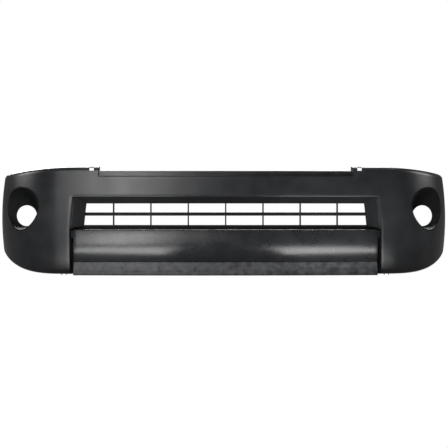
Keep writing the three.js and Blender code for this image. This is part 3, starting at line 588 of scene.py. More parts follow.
@dataclass(frozen=True)
class Finish:
    """One surface finish.

    Attributes:
        name: material name, the real material and how its surface is made.
        dark: colour at one end of the slow random change in tone.
        light: colour at the other end of it.
        gloss: smallest and largest roughness.
        grain: size of the moulded or blasted grain, in millimetres.
        relief: height of the grain, in millimetres.
        cloud: size of the slow changes in tone, in millimetres.
        metallic: 1 for a bare metal.
        specular: strength of the clear reflection, 0.5 for common plastics.
    """

    name: str
    dark: str
    light: str
    gloss: Pair
    grain: float
    relief: float
    cloud: float = 60.0
    metallic: float = 0.0
    specular: float = 0.5

    tone_stops: ClassVar[Pair] = (0.35, 0.75)
    gloss_spread: ClassVar[Pair] = (0.3, 0.7)
    fine_share: ClassVar[float] = 2.5
    bump_strength: ClassVar[float] = 0.5

    def material(self) -> bpy.types.Material:
        """Builds the finish as a procedural material."""
        made = bpy.data.materials.new(self.name)
        made.use_nodes = True
        tree = made.node_tree
        tree.nodes.clear()
        node = partial(add_node, tree)
        place = node("ShaderNodeTexCoord").outputs["Object"]

        def pattern(kind: str, scale: float, **inputs: float) -> Any:
            """Outputs of a texture on the piece's own coordinates."""
            return node(f"ShaderNodeTex{kind}", {"Vector": place, "Scale": scale, **inputs}).outputs

        cloud = pattern("Noise", 1 / (self.cloud * MM), Detail=4.0)["Fac"]
        cells = pattern("Voronoi", 1 / (self.grain * MM))["Distance"]
        fine = pattern("Noise", self.fine_share / (self.grain * MM), Detail=3.0)["Fac"]
        tone = node("ShaderNodeValToRGB", {"Fac": cloud})
        stops = zip(tone.color_ramp.elements, self.tone_stops, (self.dark, self.light))
        for stop, position, colour in stops:
            stop.position, stop.color = position, linear(colour)
        (start, stop), (low, high) = self.gloss_spread, self.gloss
        spread = {"Value": cloud, "From Min": start, "From Max": stop, "To Min": low, "To Max": high}
        rough = node("ShaderNodeMapRange", spread)
        height = node("ShaderNodeMath", {0: cells, 1: fine}, operation="MULTIPLY")
        relief = {"Height": height.outputs[0], "Strength": self.bump_strength, "Distance": self.relief * MM}
        surface = {
            "Base Color": tone.outputs["Color"],
            "Roughness": rough.outputs["Result"],
            "Normal": node("ShaderNodeBump", relief).outputs["Normal"],
            "Metallic": self.metallic,
            "Specular IOR Level": self.specular,
        }
        shader = node("ShaderNodeBsdfPrincipled", surface)
        node("ShaderNodeOutputMaterial", {"Surface": shader.outputs["BSDF"]})
        return made


# Grained polypropylene: moulded-in charcoal, leather grain etched into the mould.
GRAINED_PP = Finish("grained_polypropylene", "#17181a", "#1f2022", (0.28, 0.35), 1.1, 0.05, specular=0.42)
# Satin polypropylene: the same plastic out of a finer mould.
SATIN_PP = Finish("satin_polypropylene", "#18191b", "#202123", (0.25, 0.31), 0.8, 0.03)
# Black polypropylene: unpainted insert, plain mould.
INSERT_PP = Finish("black_insert_polypropylene", "#08090a", "#0e0f10", (0.62, 0.74), 0.9, 0.04, specular=0.16)
# Funnel polypropylene: the skin's own plastic, darker as painted shade on the funnel's walls round the slot, and
# rougher and less glossy there.
FUNNEL_SHADE_PP = Finish("funnel_painted_shade_polypropylene", "#0b0c0d", "#121314", (0.6, 0.72), 0.6, 0.04, specular=0.2)
# Flexible elastomer: extruded, matt, lighter grey than the skin, in blotchy tones.
DAM_TPE = Finish("flexible_elastomer", "#2c2d2f", "#57585a", (0.45, 0.62), 1.4, 0.08, cloud=22.0)
# Black nylon: injection moulded clips.
NYLON = Finish("black_nylon", "#131415", "#1c1d1e", (0.4, 0.5), 0.7, 0.03, cloud=15.0)
# Cathodic paint on pressed steel.
COATED_STEEL = Finish("coated_steel", "#141516", "#1d1f20", (0.32, 0.46), 0.9, 0.03, cloud=25.0)
# Zinc-plated steel: barrel plated, slightly yellow.
ZINC = Finish("zinc_plated_steel", "#8f8c80", "#b5b2a6", (0.3, 0.45), 0.5, 0.02, cloud=8.0, metallic=1.0)


class Wardrobe:
    """Builds each finish once and puts it on pieces."""

    def __init__(self) -> None:
        """Starts with no material made."""
        self.made: dict[str, bpy.types.Material] = {}

    def get(self, finish: Finish) -> bpy.types.Material:
        """The material of a finish."""
        if finish.name not in self.made:
            self.made[finish.name] = finish.material()
        return self.made[finish.name]

    def dress(self, obj: Obj, finish: Finish) -> None:
        """Gives an object one finish."""
        obj.data.materials.clear()
        obj.data.materials.append(self.get(finish))


WARDROBE = Wardrobe()


class SubAssembly:
    """Pieces that stand for nodes of the frame and share one finish."""

    slot: ClassVar[str]
    finish: ClassVar[Finish]

    def build(self) -> dict[str, Obj]:
        """Builds each piece, by the name of the node that it stands for."""
        raise NotImplementedError

    def dress(self, pieces: dict[str, Obj]) -> None:
        """Gives each piece its finish, body, node and slot."""
        for node, piece in pieces.items():
            WARDROBE.dress(piece, self.finish)
            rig.ride(piece, BODY)
            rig.replaces(piece, node)
            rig.slot(piece, self.slot)
            LOG.info("%s: %d faces", piece.name, len(piece.data.polygons))


# ---- bumper skin -------------------------------------------------------------------------------
@dataclass(frozen=True)
class BumperSkin(SubAssembly):
    """The moulded cover: end pods, upper band, seat ledge and the funnel round the slot."""

    slot: ClassVar[str] = "grained_plastic"
    finish: ClassVar[Finish] = GRAINED_PP
    mouth_fillet: float = 3 * MM
    seat_fillet: float = 3 * MM
    # one count for each stretch, in their order
    column_counts: tuple[int, ...] = (24, 6, 4, 44, 12)
    roll_rows: int = 8
    band_rows: int = 8
    funnel_rows: int = 12
    lower_rows: int = 14
    arch_flange: float = 15 * MM
    rail_front: float = -30 * MM
    rail_height: float = 30 * MM
    rail_bend: float = 3 * MM
    rail_columns: int = 48
    baffle_back: float = -57 * MM
    baffle_width: float = 24 * MM
    slot_flange: float = 18 * MM
    slot_side: float = 26 * MM
    funnel_walls: int = 8
    # depth into the funnel from which its walls take the painted shade
    painted_shade_from: float = 9 * MM
    notch: tuple[float, float, float] = (503 * MM, 520 * MM, 15 * MM)
    seat_holes: tuple[float, ...] = (120 * MM, 260 * MM, 400 * MM)
    seat_hole_radius: float = 4.5 * MM
    scoop_sides: int = 96

    @cached_property
    def rows(self) -> int:
        """Rows of faces in the main grid."""
        return len(self._section(0.0, False)) - 1

    @cached_property
    def mouth_row(self) -> int:
        """Row of the main grid at which the centre opening starts."""
        flange_rows, ledge_rows = 3, 5
        return flange_rows + (self.roll_rows + 1) + ledge_rows + self.band_rows

    @cached_property
    def edge_column(self) -> int:
        """Column of the main grid at which the centre opening ends."""
        return self.column_counts[0] + self.column_counts[1] + 1

    # -- the main grid --
    def _edge(self, z: float) -> float:
        """Frontal position of the opening's side at a height, outside the mouth's fillet."""
        s = SHAPE
        share = min(1.0, max(0.0, (z - s.opening_bottom) / (s.opening_top - s.opening_bottom)))
        return mix(s.opening_bottom_half, s.opening_top_half, share) + self.mouth_fillet

    @cached_property
    def columns(self) -> list[tuple[Stretch, float]]:
        """Each column of one hand: the stretch that it lies in and its share of that stretch."""
        made = []
        for stretch, count in zip(Stretch, self.column_counts):
            first = 0 if stretch in (Stretch.CENTRE, Stretch.SHOULDER) else 1
            made += [(stretch, i / count) for i in range(first, count + 1)]
        return made

    def _distance(self, column: tuple[Stretch, float], z: float) -> float:
        """Distance along the plan line of a column at a height."""
        stretch, share = column
        seat, edge = PLAN.distance_at(SHAPE.seat_half), PLAN.distance_at(self._edge(z))
        corner_end = PLAN.front_length + PLAN.corner_length
        spans = {
            Stretch.CENTRE: (0.0, seat),
            Stretch.SHOULDER: (seat, edge),
            Stretch.GAP: (edge, PLAN.front_length),
            Stretch.CORNER: (PLAN.front_length, corner_end),
            Stretch.SIDE: (corner_end, SHAPE.arch_distance(z)),
        }
        return mix(*spans[stretch], share)

    def _heights(self, x: float) -> list[float]:
        """Row heights of the face from the seat's ledge down to the lower roll."""
        s = SHAPE
        mouth = s.opening_top + self.mouth_fillet
        nominal = (
            spaced(s.seat_ledge - 2 * MM, mouth, self.band_rows)
            + spaced(mouth, s.opening_bottom, self.funnel_rows)[1:]
            + spaced(s.opening_bottom - 0.1 * MM, s.pod_bottom + s.roll, self.lower_rows)
        )
        full = s.pod_top - s.pod_bottom - 2 * s.roll
        low, high = s.bottom_at(x) + s.roll, s.top_at(x) - s.roll
        return [low + (z - s.pod_bottom - s.roll) * (high - low) / full for z in nominal]

    def _section(self, x: float, centre: bool) -> list[Pair]:
        """Offsets and heights of the outer line at a frontal position, from the top down."""
        s = SHAPE
        heights = self._heights(x)
        if centre:
            f, ledge, r = s.face(x, s.seat_ledge - 2 * MM), s.seat_ledge, self.seat_fillet
            upper = [(s.seat_face - s.seat_depth * k / 3, s.seat_top) for k in (3, 2, 1)]
            upper += arc((s.seat_face - r, s.seat_top - r), r, 90, 0, self.roll_rows)
            upper += [(s.seat_face, ledge + r), (s.seat_face + 0.3 * r, ledge + 0.3 * r)]
            upper += [(s.seat_face + r, ledge), (f - 2 * MM, ledge), (f - 0.6 * MM, ledge - 0.6 * MM)]
        else:
            top = s.top_at(x)
            d = s.face(x, top - s.roll) - s.roll
            upper = [(d - s.top_flange * k / 3, top) for k in (3, 2, 1)]
            upper += arc((d, top - s.roll), s.roll, 90, 0, self.roll_rows)
            upper += [(s.face(x, z), z) for z in spaced(top - s.roll, heights[0], 6)[1:-1]]
        low = s.bottom_at(x)
        d = s.face(x, low + s.roll) - s.roll
        lower = arc((d, low + s.roll), s.roll, 0, -90, self.roll_rows)[1:]
        lower += [(d - s.bottom_flange * k / 2, low) for k in (1, 2)]
        return upper + [(s.face(x, z), z) for z in heights] + lower

    def _corner(self, column: int, row: int) -> tuple[float, float, float]:
        """Distance, offset and height of a corner of the main grid, on the right hand."""
        stretch_share = self.columns[column]
        centre = stretch_share[0] is Stretch.CENTRE
        near = PLAN.station(self._distance(stretch_share, SHAPE.opening_bottom)).x
        z = self._section(near, centre)[row][1]
        distance = self._distance(stretch_share, z)
        d, z = self._section(PLAN.station(distance).x, centre)[row]
        return distance, d, z

    def _main(self) -> Obj:
        """The outer surface with the centre opening left out."""
        reach = len(self.columns) - 1
        cache = [
            [SHAPE.at(*self._corner(i, j)) for j in range(self.rows + 1)] for i in range(reach + 1)
        ]

        def place(i: int, j: int) -> Vector:
            """The corner in a column, counted from the far left, and a row."""
            point = cache[abs(i - reach)][j].copy()
            point.x *= -1 if i < reach else 1
            return point

        made = patch(2 * reach, self.rows, place, FORWARD, (reach, self.mouth_row - 3))
        inner = {
            (i, j)
            for i in range(reach - self.edge_column, reach + self.edge_column)
            for j in range(self.mouth_row, self.rows)
        }
        self._drop(made, 2 * reach, inner)
        return made

    @staticmethod
    def _drop(obj: Obj, columns: int, faces: set[tuple[int, int]]) -> None:
        """Deletes faces of a grid by column and row."""
        with editing(obj):
            bpy.ops.mesh.select_all(action="DESELECT")
        for polygon in obj.data.polygons:
            polygon.select = (polygon.index % columns, polygon.index // columns) in faces
        activate(obj)
        bpy.ops.object.mode_set(mode="EDIT")
        bpy.ops.mesh.delete(type="FACE")
        bpy.ops.object.mode_set(mode="OBJECT")

    # -- the funnel round the slot and the pods' inner walls --
    def _chain(self) -> list[tuple[float, float, float, float, float]]:
        """The opening's rim from the lower left round to the lower right.

        Returns:
            For each point: distance, offset, height, and the direction towards the opening's
            middle as a pair along the line and upwards.
        """
        edge, mouth = self.edge_column, self.mouth_row
        right = [(*self._corner(edge, j), -1.0, 0.0) for j in range(self.rows, mouth, -1)]
        right += [
            (*self._corner(i, mouth), -1.0 if i == edge else 0.0, -1.0) for i in range(edge, -1, -1)
        ]
        left = [(-s, d, z, -a, b) for s, d, z, a, b in right]
        return left + right[-2::-1]

    def _wall_end(self, distance: float, z: float, up: float) -> tuple[float, float, float]:
        """Where a wall that starts at the opening's rim ends: at the slot or behind the lip."""
        s = SHAPE
        depth = s.slot_back + s.wall
        hand = -1.0 if distance < 0 else 1.0
        if z < s.opening_bottom - 0.05 * MM and up == 0:
            return hand * PLAN.distance_at(s.opening_bottom_half), self.baffle_back, z
        if up == 0:
            share = (z - s.opening_bottom) / (s.opening_top - s.opening_bottom)
            height = mix(s.opening_bottom, s.slot_top, share)
            half = mix(s.slot_bottom_half, s.slot_top_half, share)
            return hand * PLAN.distance_at(PLAN.plan_x(half, depth)), depth, height
        reach = abs(distance) / PLAN.distance_at(self._edge(s.opening_top))
        inner = PLAN.distance_at(PLAN.plan_x(s.slot_top_half, depth))
        return hand * inner * reach, depth, s.slot_top

    def _funnel(self) -> Obj:
        """The walls that run back from the opening's rim, with a rounded mouth."""
        chain = self._chain()
        r = self.mouth_fillet
        turns = [math.radians(a) for a in (0, 22.5, 45, 67.5, 90)]
        walls = self.funnel_walls

        def place(i: int, j: int) -> Vector:
            """The corner at a point of the rim, over the fillet and down the wall."""
            s, d, z, along, up = chain[i]
            turn = turns[min(j, len(turns) - 1)]
            s1 = s + along * r * math.sin(turn)
            z1 = z + up * r * math.sin(turn)
            d1 = d - r * (1 - math.cos(turn))
            if j < len(turns):
                return SHAPE.at(s1, d1, z1)
            end = self._wall_end(s, z, up)
            share = (j - len(turns) + 1) / walls
            return SHAPE.at(mix(s1, end[0], share), mix(d1, end[1], share), mix(z1, end[2], share))

        rows = len(turns) - 1 + walls
        middle = (len(chain) // 2, rows - 2)
        return patch(len(chain) - 1, rows, place, Vector((0, 0, -1)), middle)

    def _rails(self) -> list[Obj]:
        """The cross rail under the slot, the slot's flanges and the baffles beside the lip."""
        s = SHAPE
        reach = PLAN.distance_at(s.opening_bottom_half + 2 * MM)
        across = spaced(-reach, reach, self.rail_columns)
        front, floor, back = self.rail_front, s.opening_bottom - s.wall, s.slot_back + s.wall
        bend = self.rail_bend
        rail = [(front + s.wall, floor - self.rail_height), (front + s.wall, floor - bend)]
        rail += arc((front, floor - bend), s.wall, 0, 90, 4)[1:]
        rail = [(d, z if z < floor - bend else z + bend - s.wall) for d, z in rail]
        rail += [(back + 2 * MM, floor), (back, floor + 2 * MM), (back, s.slot_bottom)]
        flange = [(back, s.slot_top + 0.3 * MM), (back, s.slot_top + self.slot_flange)]
        pieces = [swept(across, rail, UP), swept(across, flange, FORWARD)]
        baffle_face = self.baffle_back + s.wall
        baffle = [(baffle_face, s.opening_bottom - 4 * MM), (baffle_face, s.pod_bottom)]
        slot_end = (
            (s.slot_bottom_half, s.slot_bottom - self.slot_flange),
            (s.slot_bottom_half, s.slot_bottom),
            (s.slot_top_half, s.slot_top),
            (s.slot_top_half, s.slot_top + self.slot_flange),
        )
        for hand in HANDS:
            inner, outer = s.opening_bottom_half - self.baffle_width, s.opening_bottom_half + 1 * MM
            ends = [hand * PLAN.distance_at(x) for x in (inner, outer)]
            pieces.append(swept(ends, baffle, FORWARD))
            sections = []
            for half, z in slot_end:
                places = [PLAN.plan_x(half + k, s.slot_back) for k in (-0.5 * MM, self.slot_side)]
                sections.append([SHAPE.at(hand * PLAN.distance_at(x), back, z) for x in places])
            pieces.append(strip(sections, FORWARD))
        return pieces

    def _arch_flanges(self) -> list[Obj]:
        """The return flanges round the wheel openings."""
        heights = spaced(SHAPE.bottom_at(PLAN.half_width) + SHAPE.roll, SHAPE.seat_ledge - 30 * MM, 28)
        pieces = []
        for hand in HANDS:
            sections = []
            for z in heights:
                s = hand * SHAPE.arch_distance(z)
                edge = SHAPE.face(PLAN.station(s).x, z) - 0.2 * MM
                steps = [k * self.arch_flange / 3 for k in range(4)]
                sections.append([SHAPE.at(s, edge - step, z) for step in steps])
            pieces.append(strip(sections, Vector((0, 1, 0))))
        return pieces

    def _cutters(self) -> list[Obj]:
        """Scoop openings, notches and seat holes, as closed solids."""
        return [
            cutter
            for hand in HANDS
            for cutter in (self._scoop_cutter(hand), self._notch_cutter(hand), *self._hole_cutters(hand))
        ]

    def _scoop_cutter(self, hand: int) -> Obj:
        """A solid through the skin with the scoop's outline."""
        bpy.ops.mesh.primitive_cylinder_add(vertices=self.scoop_sides, radius=1, depth=2)
        loft = bpy.context.active_object
        for vertex in loft.data.vertices:
            turn = math.atan2(vertex.co.y, vertex.co.x) % (2 * math.pi)
            depth = -40 * MM if vertex.co.z > 0 else 12 * MM
            vertex.co = SHAPE.skin_point(*SHAPE.scoop_point(turn), depth)
            vertex.co.x *= hand
        with editing(loft):
            bpy.ops.mesh.normals_make_consistent(inside=False)
        return loft

    def _notch_cutter(self, hand: int) -> Obj:
        """A block that cuts the notch in the top edge beside the seat."""
        left, right, deep = self.notch
        notch = block((right - left, 100 * MM, deep + 20 * MM))
        place = hand * PLAN.distance_at((left + right) / 2)
        middle = SHAPE.at(place, 20 * MM, SHAPE.pod_top + 10 * MM - deep / 2)
        notch.data.transform(Matrix.Translation(middle))
        return notch

    def _hole_cutters(self, hand: int) -> Iterator[Obj]:
        """Rods for the clip holes along the seat."""
        depth = SHAPE.seat_face - SHAPE.seat_depth / 2 - 4 * MM
        for x in self.seat_holes:
            hole = rod(self.seat_hole_radius, 20 * MM)
            middle = SHAPE.at(hand * PLAN.distance_at(x), depth, SHAPE.seat_top)
            hole.data.transform(Matrix.Translation(middle))
            yield hole

    def build(self) -> dict[str, Obj]:
        """Builds the skin's shell."""
        surface = joined("skin_surface", [self._main(), self._funnel()])
        weld(surface)
        extras = joined("skin_extras", [*self._rails(), *self._arch_flanges()])
        for shell in (surface, extras):
            thicken(shell, SHAPE.wall)
        combine(surface, Act.CUT, joined("skin_cutters", self._cutters()))
        skin = joined("skin_shell", [surface, extras])
        shade(skin)
        return {"bumper_skin": skin}

    def dress(self, pieces: dict[str, Obj]) -> None:
        """Gives the skin its grained plastic, and the funnel's walls a darker copy of it as painted shade."""
        super().dress(pieces)
        skin = pieces["bumper_skin"]
        # Painted shade: faces sunk past a depth inside the opening's outline take the darker finish.
        skin.data.materials.append(WARDROBE.get(FUNNEL_SHADE_PP))
        centre = SHAPE.origin + Vector((0, PLAN.front_radius, 0))
        for polygon in skin.data.polygons:
            away = polygon.center - centre
            sunk = PLAN.front_radius - math.hypot(away.x, away.y)
            beside = abs(away.x) < SHAPE.opening_bottom_half + 1 * MM
            inside = beside and away.z < SHAPE.opening_top + 1 * MM
            polygon.material_index = 1 if inside and sunk > self.painted_shade_from else 0


# ---- lip panel and air dam ---------------------------------------------------------------------
@dataclass(frozen=True)
class LipPanel(SubAssembly):
    """The convex panel between the pods, under the slot."""

    slot: ClassVar[str] = "smooth_plastic"
    finish: ClassVar[Finish] = SATIN_PP
    top: float = 176 * MM
    bottom: float = 56 * MM
    edge: float = -20 * MM
    bulge: float = 13 * MM
    return_depth: float = 29 * MM
    end_return: float = 16 * MM
    fillet: float = 3 * MM
    ribs: tuple[float, ...] = (50 * MM, 230 * MM, 390 * MM, 550 * MM)
    rib_wall: float = 2.5 * MM
    rib_span: Pair = (58 * MM, 138 * MM)
    rib_back: float = -34 * MM
    rib_slope_from: float = 118 * MM
    columns: int = 96

    def face(self, z: float) -> float:
        """Offset of the bulged face at a height."""
        middle, half = (self.top + self.bottom) / 2, (self.top - self.bottom) / 2
        return self.edge + self.bulge * (1 - ((z - middle) / half) ** 2)

    def _line(self) -> list[Pair]:
        """Offsets and heights of the panel from its top edge to its lower return."""
        r = self.fillet
        line = [(self.edge - 5 * MM, self.top - 0.4 * MM), (self.edge - 3 * MM, self.top)]
        line += arc((self.edge - 1.6 * MM, self.top - r), r, 90, 25, 4)
        line += [(self.face(z), z) for z in spaced(self.top - 2.4 * r, self.bottom + r, 24)]
        line += arc((self.edge - r, self.bottom - 3.6 * MM + r), r, -10, -90, 5)
        line += [(self.edge - k * self.return_depth / 3, self.bottom - 3.6 * MM) for k in (1, 2, 3)]
        return line

    def build(self) -> dict[str, Obj]:
        """Builds the panel's shell with its end returns and stiffeners."""
        reach = PLAN.distance_at(SHAPE.panel_half)
        line, r = self._line(), self.fillet
        distances = spaced(-reach + r, reach - r, self.columns)
        sections = [[SHAPE.at(s, d, z) for d, z in line] for s in distances]
        turns = [math.radians(turn) for turn in (30, 60, 90)]
        ends = [(reach - r + r * math.sin(a), r * (1 - math.cos(a))) for a in turns]
        for s, sunk in (*ends, (reach, r + self.end_return)):
            sections.insert(0, [SHAPE.at(-s, d - sunk, z) for d, z in line])
            sections.append([SHAPE.at(s, d - sunk, z) for d, z in line])
        panel = strip(sections, FORWARD)
        thicken(panel, SHAPE.wall)
        ribs = [self._rib(hand * x) for x in self.ribs for hand in HANDS]
        panel = joined("lip_shell", [panel, *ribs])
        shade(panel)
        return {"lower_lip_panel": panel}

    def _rib(self, x: float) -> Obj:
        """An upright stiffener behind the face."""
        side = PLAN.distance_at(x) - self.rib_wall / 2
        sections = []
        for z in spaced(*self.rib_span, 8):
            sloped = self.rib_back + max(0.0, z - self.rib_slope_from) * 0.4
            back = min(sloped, self.face(z) - 3 * MM)
            sections.append([SHAPE.at(side, self.face(z) - 1.5 * MM, z), SHAPE.at(side, back, z)])
        rib = strip(sections, Vector((-1, 0, 0)))
        thicken(rib, self.rib_wall)
        return rib


@dataclass(frozen=True)
class AirDam(SubAssembly):
    """The strip under the lip: a rear flange, a raked face with pockets and a rounded toe."""

    slot: ClassVar[str] = "dam_plastic"
    finish: ClassVar[Finish] = DAM_TPE
    top: float = 52.25 * MM
    wall: float = 3.5 * MM
    rear: float = -50 * MM
    hip: float = -24 * MM
    toe: float = -11 * MM
    pockets: int = 8
    pitch: float = 140 * MM
    half: float = 52 * MM
    low: float = 14 * MM
    high: float = 38 * MM
    sink: float = 1.4 * MM
    columns: int = 336

    def _line(self) -> list[Pair]:
        """Offsets and heights from the rear flange to the toe."""
        line = [(mix(self.rear, self.hip - 3 * MM, k / 3), self.top) for k in range(3)]
        line += arc((self.hip - 3 * MM, self.top - 3 * MM), 3 * MM, 90, 12, 5)
        heights = spaced(40 * MM, 12 * MM, 16)
        line += list(zip(spaced(self.hip + 3 * MM, self.toe - 2 * MM, 16), heights))
        line += [(self.toe - 0.8 * MM, 9 * MM), (self.toe, 6 * MM), (self.toe - 0.2 * MM, 3.5 * MM)]
        line += [(self.toe - 1 * MM, 1.5 * MM), (self.toe - 3.6 * MM, 0.0)]
        return line

    def _sink(self, x: float, z: float) -> float:
        """Depth of the pockets at a place of the face."""
        offset = (x / self.pitch + self.pockets / 2) % 1.0 - 0.5
        across = 1 - smooth(abs(offset) * self.pitch, self.half - 4 * MM, self.half)
        up = smooth(z, self.low, self.low + 3 * MM) * (1 - smooth(z, self.high - 3 * MM, self.high))
        inside = abs(x) < self.pitch * self.pockets / 2
        return self.sink * across * up * inside

    def build(self) -> dict[str, Obj]:
        """Builds the strip's shell."""
        reach = PLAN.distance_at(SHAPE.panel_half)
        line = self._line()
        distances = spaced(-reach, reach, self.columns)
        sections = [[SHAPE.at(s, d - self._sink(s, z), z) for d, z in line] for s in distances]
        dam = strip(sections, FORWARD)
        thicken(dam, self.wall)
        dam.name = "dam_shell"
        shade(dam)
        return {"air_dam": dam}


# ---- slot grille -------------------------------------------------------------------------------
@dataclass(frozen=True)
class SlotGrille(SubAssembly):
    """A frame behind the slot, one horizontal bar and seven upright fins."""

    slot: ClassVar[str] = "black_insert"
    finish: ClassVar[Finish] = INSERT_PP
    pitch: float = 144 * MM
    fins: int = 7
    fin_width: float = 5 * MM
    fin_round: float = 1.4 * MM
    fin_socket: float = 4 * MM
    front: float = -60.4 * MM
    back: float = -74 * MM
    bar_front: float = -54 * MM
    bar_back: float = -66.5 * MM
    bar_height: float = 13 * MM
    bar_middle: float = 235.5 * MM
    tongue: float = 16 * MM
    rail_height: float = 14 * MM
    overlap: float = 1.5 * MM
    gap: float = 0.4 * MM
    edge: float = 1.2 * MM
    nose_edge: float = 3 * MM
    columns: int = 96

    @cached_property
    def top(self) -> float:
        """Height of the frame's upper inside edge."""
        return SHAPE.slot_top + self.overlap

    @cached_property
    def bottom(self) -> float:
        """Height of the frame's lower inside edge."""
        return SHAPE.slot_bottom - self.overlap

    def _beam(self, front: float, back: float, low: float, high: float, half: float, edge: float) -> Obj:
        """A closed bar along the plan line with rounded edges.

        Args:
            front: offset of its front face.
            back: offset of its back face.
            low: height of its underside.
            high: height of its top.
            half: frontal position of its ends.
            edge: radius of its edges.

        Returns:
            The bar as a closed solid.
        """
        line = arc((front - edge, high - edge), edge, 90, 0, 4)
        line += arc((front - edge, low + edge), edge, 0, -90, 4)
        line += arc((back + edge, low + edge), edge, 270, 180, 4)
        line += arc((back + edge, high - edge), edge, 180, 90, 4)
        line.append(line[0])
        reach = PLAN.distance_at(PLAN.plan_x(half, front))
        return closed(swept(spaced(-reach, reach, self.columns), line, UP))

    def _tail(self, room: float = 0.0) -> Obj:
        """The bar's tail, whose ends lie in the posts; with room round it, its socket."""
        half = self.bar_height / 2 + room
        low, high = self.bar_middle - half, self.bar_middle + half
        ends = SHAPE.slot_top_half + self.tongue + room
        return self._beam(self.front + room, self.bar_back - room, low, high, ends, self.edge)

    def _bar(self) -> Obj:
        """The horizontal bar: a rounded nose in the slot and a tail behind it."""
        half = self.bar_height / 2
        low, high = self.bar_middle - half + 0.3 * MM, self.bar_middle + half - 0.3 * MM
        ends = SHAPE.slot_top_half + 1 * MM
        nose = self._beam(self.bar_front, self.front - 1 * MM, low, high, ends, self.nose_edge)
        tail = self._tail()
        combine(tail, Act.MERGE, nose)
        tail.name = "grille_crossbar"
        return tail

    def _fin_block(self, index: int, room: float = 0.0) -> Obj:
        """An upright fin; with room round it, the notch that its ends stand in."""
        x = (index - (self.fins - 1) / 2) * self.pitch
        height = self.top - self.bottom + 2 * (self.fin_socket + room)
        depth = self.front - self.back - 1 * MM + 8 * room
        made = block((self.fin_width + 2 * room, height, depth), 0.0 if room else self.fin_round)
        place = PLAN.distance_at(PLAN.plan_x(x, self.front))
        stand(made, place, (self.front + self.back) / 2, (self.top + self.bottom) / 2)
        return made

    def _fin(self, index: int) -> Obj:
        """An upright fin with rounded edges, halved where the bar crosses it."""
        fin = self._fin_block(index)
        combine(fin, Act.CUT, self._tail(self.gap))
        fin.name = f"grille_upright_{index + 1}"
        return fin

    def _post(self, hand: int) -> Obj:
        """One short side of the frame, slanted like the slot's end."""
        s = SHAPE
        sections = []
        for half, z in (
            (s.slot_bottom_half, s.slot_bottom - self.overlap - 2 * MM),
            (s.slot_top_half, s.slot_top + self.overlap + 2 * MM),
        ):
            inner, outer = half + self.overlap, s.slot_bottom_half + 13 * MM
            loop = [(inner, self.front), (outer, self.front), (outer, self.back), (inner, self.back)]
            loop.append(loop[0])
            places = [(hand * PLAN.distance_at(PLAN.plan_x(x, d)), d) for x, d in loop]
            sections.append([SHAPE.at(distance, d, z) for distance, d in places])
        return closed(strip(sections, FORWARD))

    def _frame(self) -> Obj:
        """The frame behind the slot's edge, notched for the fins and the bar."""
        ends = SHAPE.slot_bottom_half + 14 * MM
        made = self._beam(self.front, self.back, self.top, self.top + self.rail_height, ends, self.edge)
        low = self.bottom - self.rail_height
        lower_rail = self._beam(self.front, self.back, low, self.bottom, ends, self.edge)
        combine(made, Act.MERGE, lower_rail)
        for hand in HANDS:
            combine(made, Act.MERGE, self._post(hand))
        combine(made, Act.CUT, self._tail(self.gap))
        for index in range(self.fins):
            combine(made, Act.CUT, self._fin_block(index, self.gap))
        made.name = "grille_surround"
        return made

    def build(self) -> dict[str, Obj]:
        """Builds the frame, the bar and the fins."""
        pieces = {"slot_grille": self._frame(), "grille_bar": self._bar()}
        for index in range(self.fins):
            pieces[f"grille_fin_{index + 1}"] = self._fin(index)
        for piece in pieces.values():
            shade(piece)
        return pieces


# ---- fog-lamp bezels ---------------------------------------------------------------------------
@dataclass(frozen=True)
class FogBezel(SubAssembly):
    """The scooped surround of a fog-lamp opening, one on each hand."""

    slot: ClassVar[str] = "black_insert"
    finish: ClassVar[Finish] = INSERT_PP
    wall: float = 2.5 * MM
    inset: float = 1 * MM
    sunk: float = 0.8 * MM
    rim_round: float = 1.5 * MM
    flange: float = 7 * MM
    lamp_rim: float = 6 * MM
    bowl_rows: int = 22
    bowl_power: float = 1.25
    spokes: int = 96

    def _ring(self, angle: float, radius: float, behind: float) -> Vector:
        """A point of the lamp's ring."""
        tilt = SHAPE.lamp_tilt
        across = Vector((math.cos(tilt), math.sin(tilt), 0))
        back = Vector((-math.sin(tilt), math.cos(tilt), 0))
        middle = Vector(SHAPE.lamp) + SHAPE.origin
        rise = Vector((0, 0, radius * math.sin(angle)))
        return middle + across * radius * math.cos(angle) + rise + back * behind

    def _profile(self, angle: float) -> list[Vector]:
        """The line from behind the skin, over the rim and down the bowl to the lamp's ring."""

        def at(grow: float, depth: float) -> Vector:
            """The point off the scoop's outline and under the skin's face."""
            return SHAPE.skin_point(*SHAPE.scoop_point(angle, grow), depth)

        back = SHAPE.wall + 1.2 * MM
        line = [at(self.flange, back), at(1 * MM, back), at(-self.inset, back - 1 * MM)]
        for turn in (0, 30, 60, 90):
            a = math.radians(turn)
            grow = -self.inset - self.rim_round * (1 - math.cos(a))
            line.append(at(grow, self.sunk + self.rim_round * (1 - math.sin(a))))
        rim = at(-self.inset - 2 * self.rim_round, self.sunk + 0.4 * MM)
        seat = self._ring(angle, SHAPE.lamp_radius + 1.2 * MM, 0.0)
        for t in spaced(0, 1, self.bowl_rows):
            inward, back = t**self.bowl_power, math.sin(t * math.pi / 2)
            point = mix(rim.x, seat.x, inward), mix(rim.y, seat.y, back), mix(rim.z, seat.z, inward)
            line.append(Vector(point))
        rim_line = ((0.3 * MM, 0.3 * MM), (0.0, 1.2 * MM), (0.0, self.lamp_rim - 2.2 * MM))
        return line + [self._ring(angle, SHAPE.lamp_radius + grow, behind) for grow, behind in rim_line]

    def build(self) -> dict[str, Obj]:
        """Builds the right bezel and mirrors it."""
        sections = [self._profile(a) for a in spaced(0, 2 * math.pi, self.spokes)]
        bowl = strip(sections, FORWARD)
        weld(bowl)
        thicken(bowl, self.wall)
        bowl.name = "fog_scoop_right"
        shade(bowl, 40)
        return {"fog_bezel_right": bowl, "fog_bezel_left": mirrored(bowl, "fog_scoop_left")}


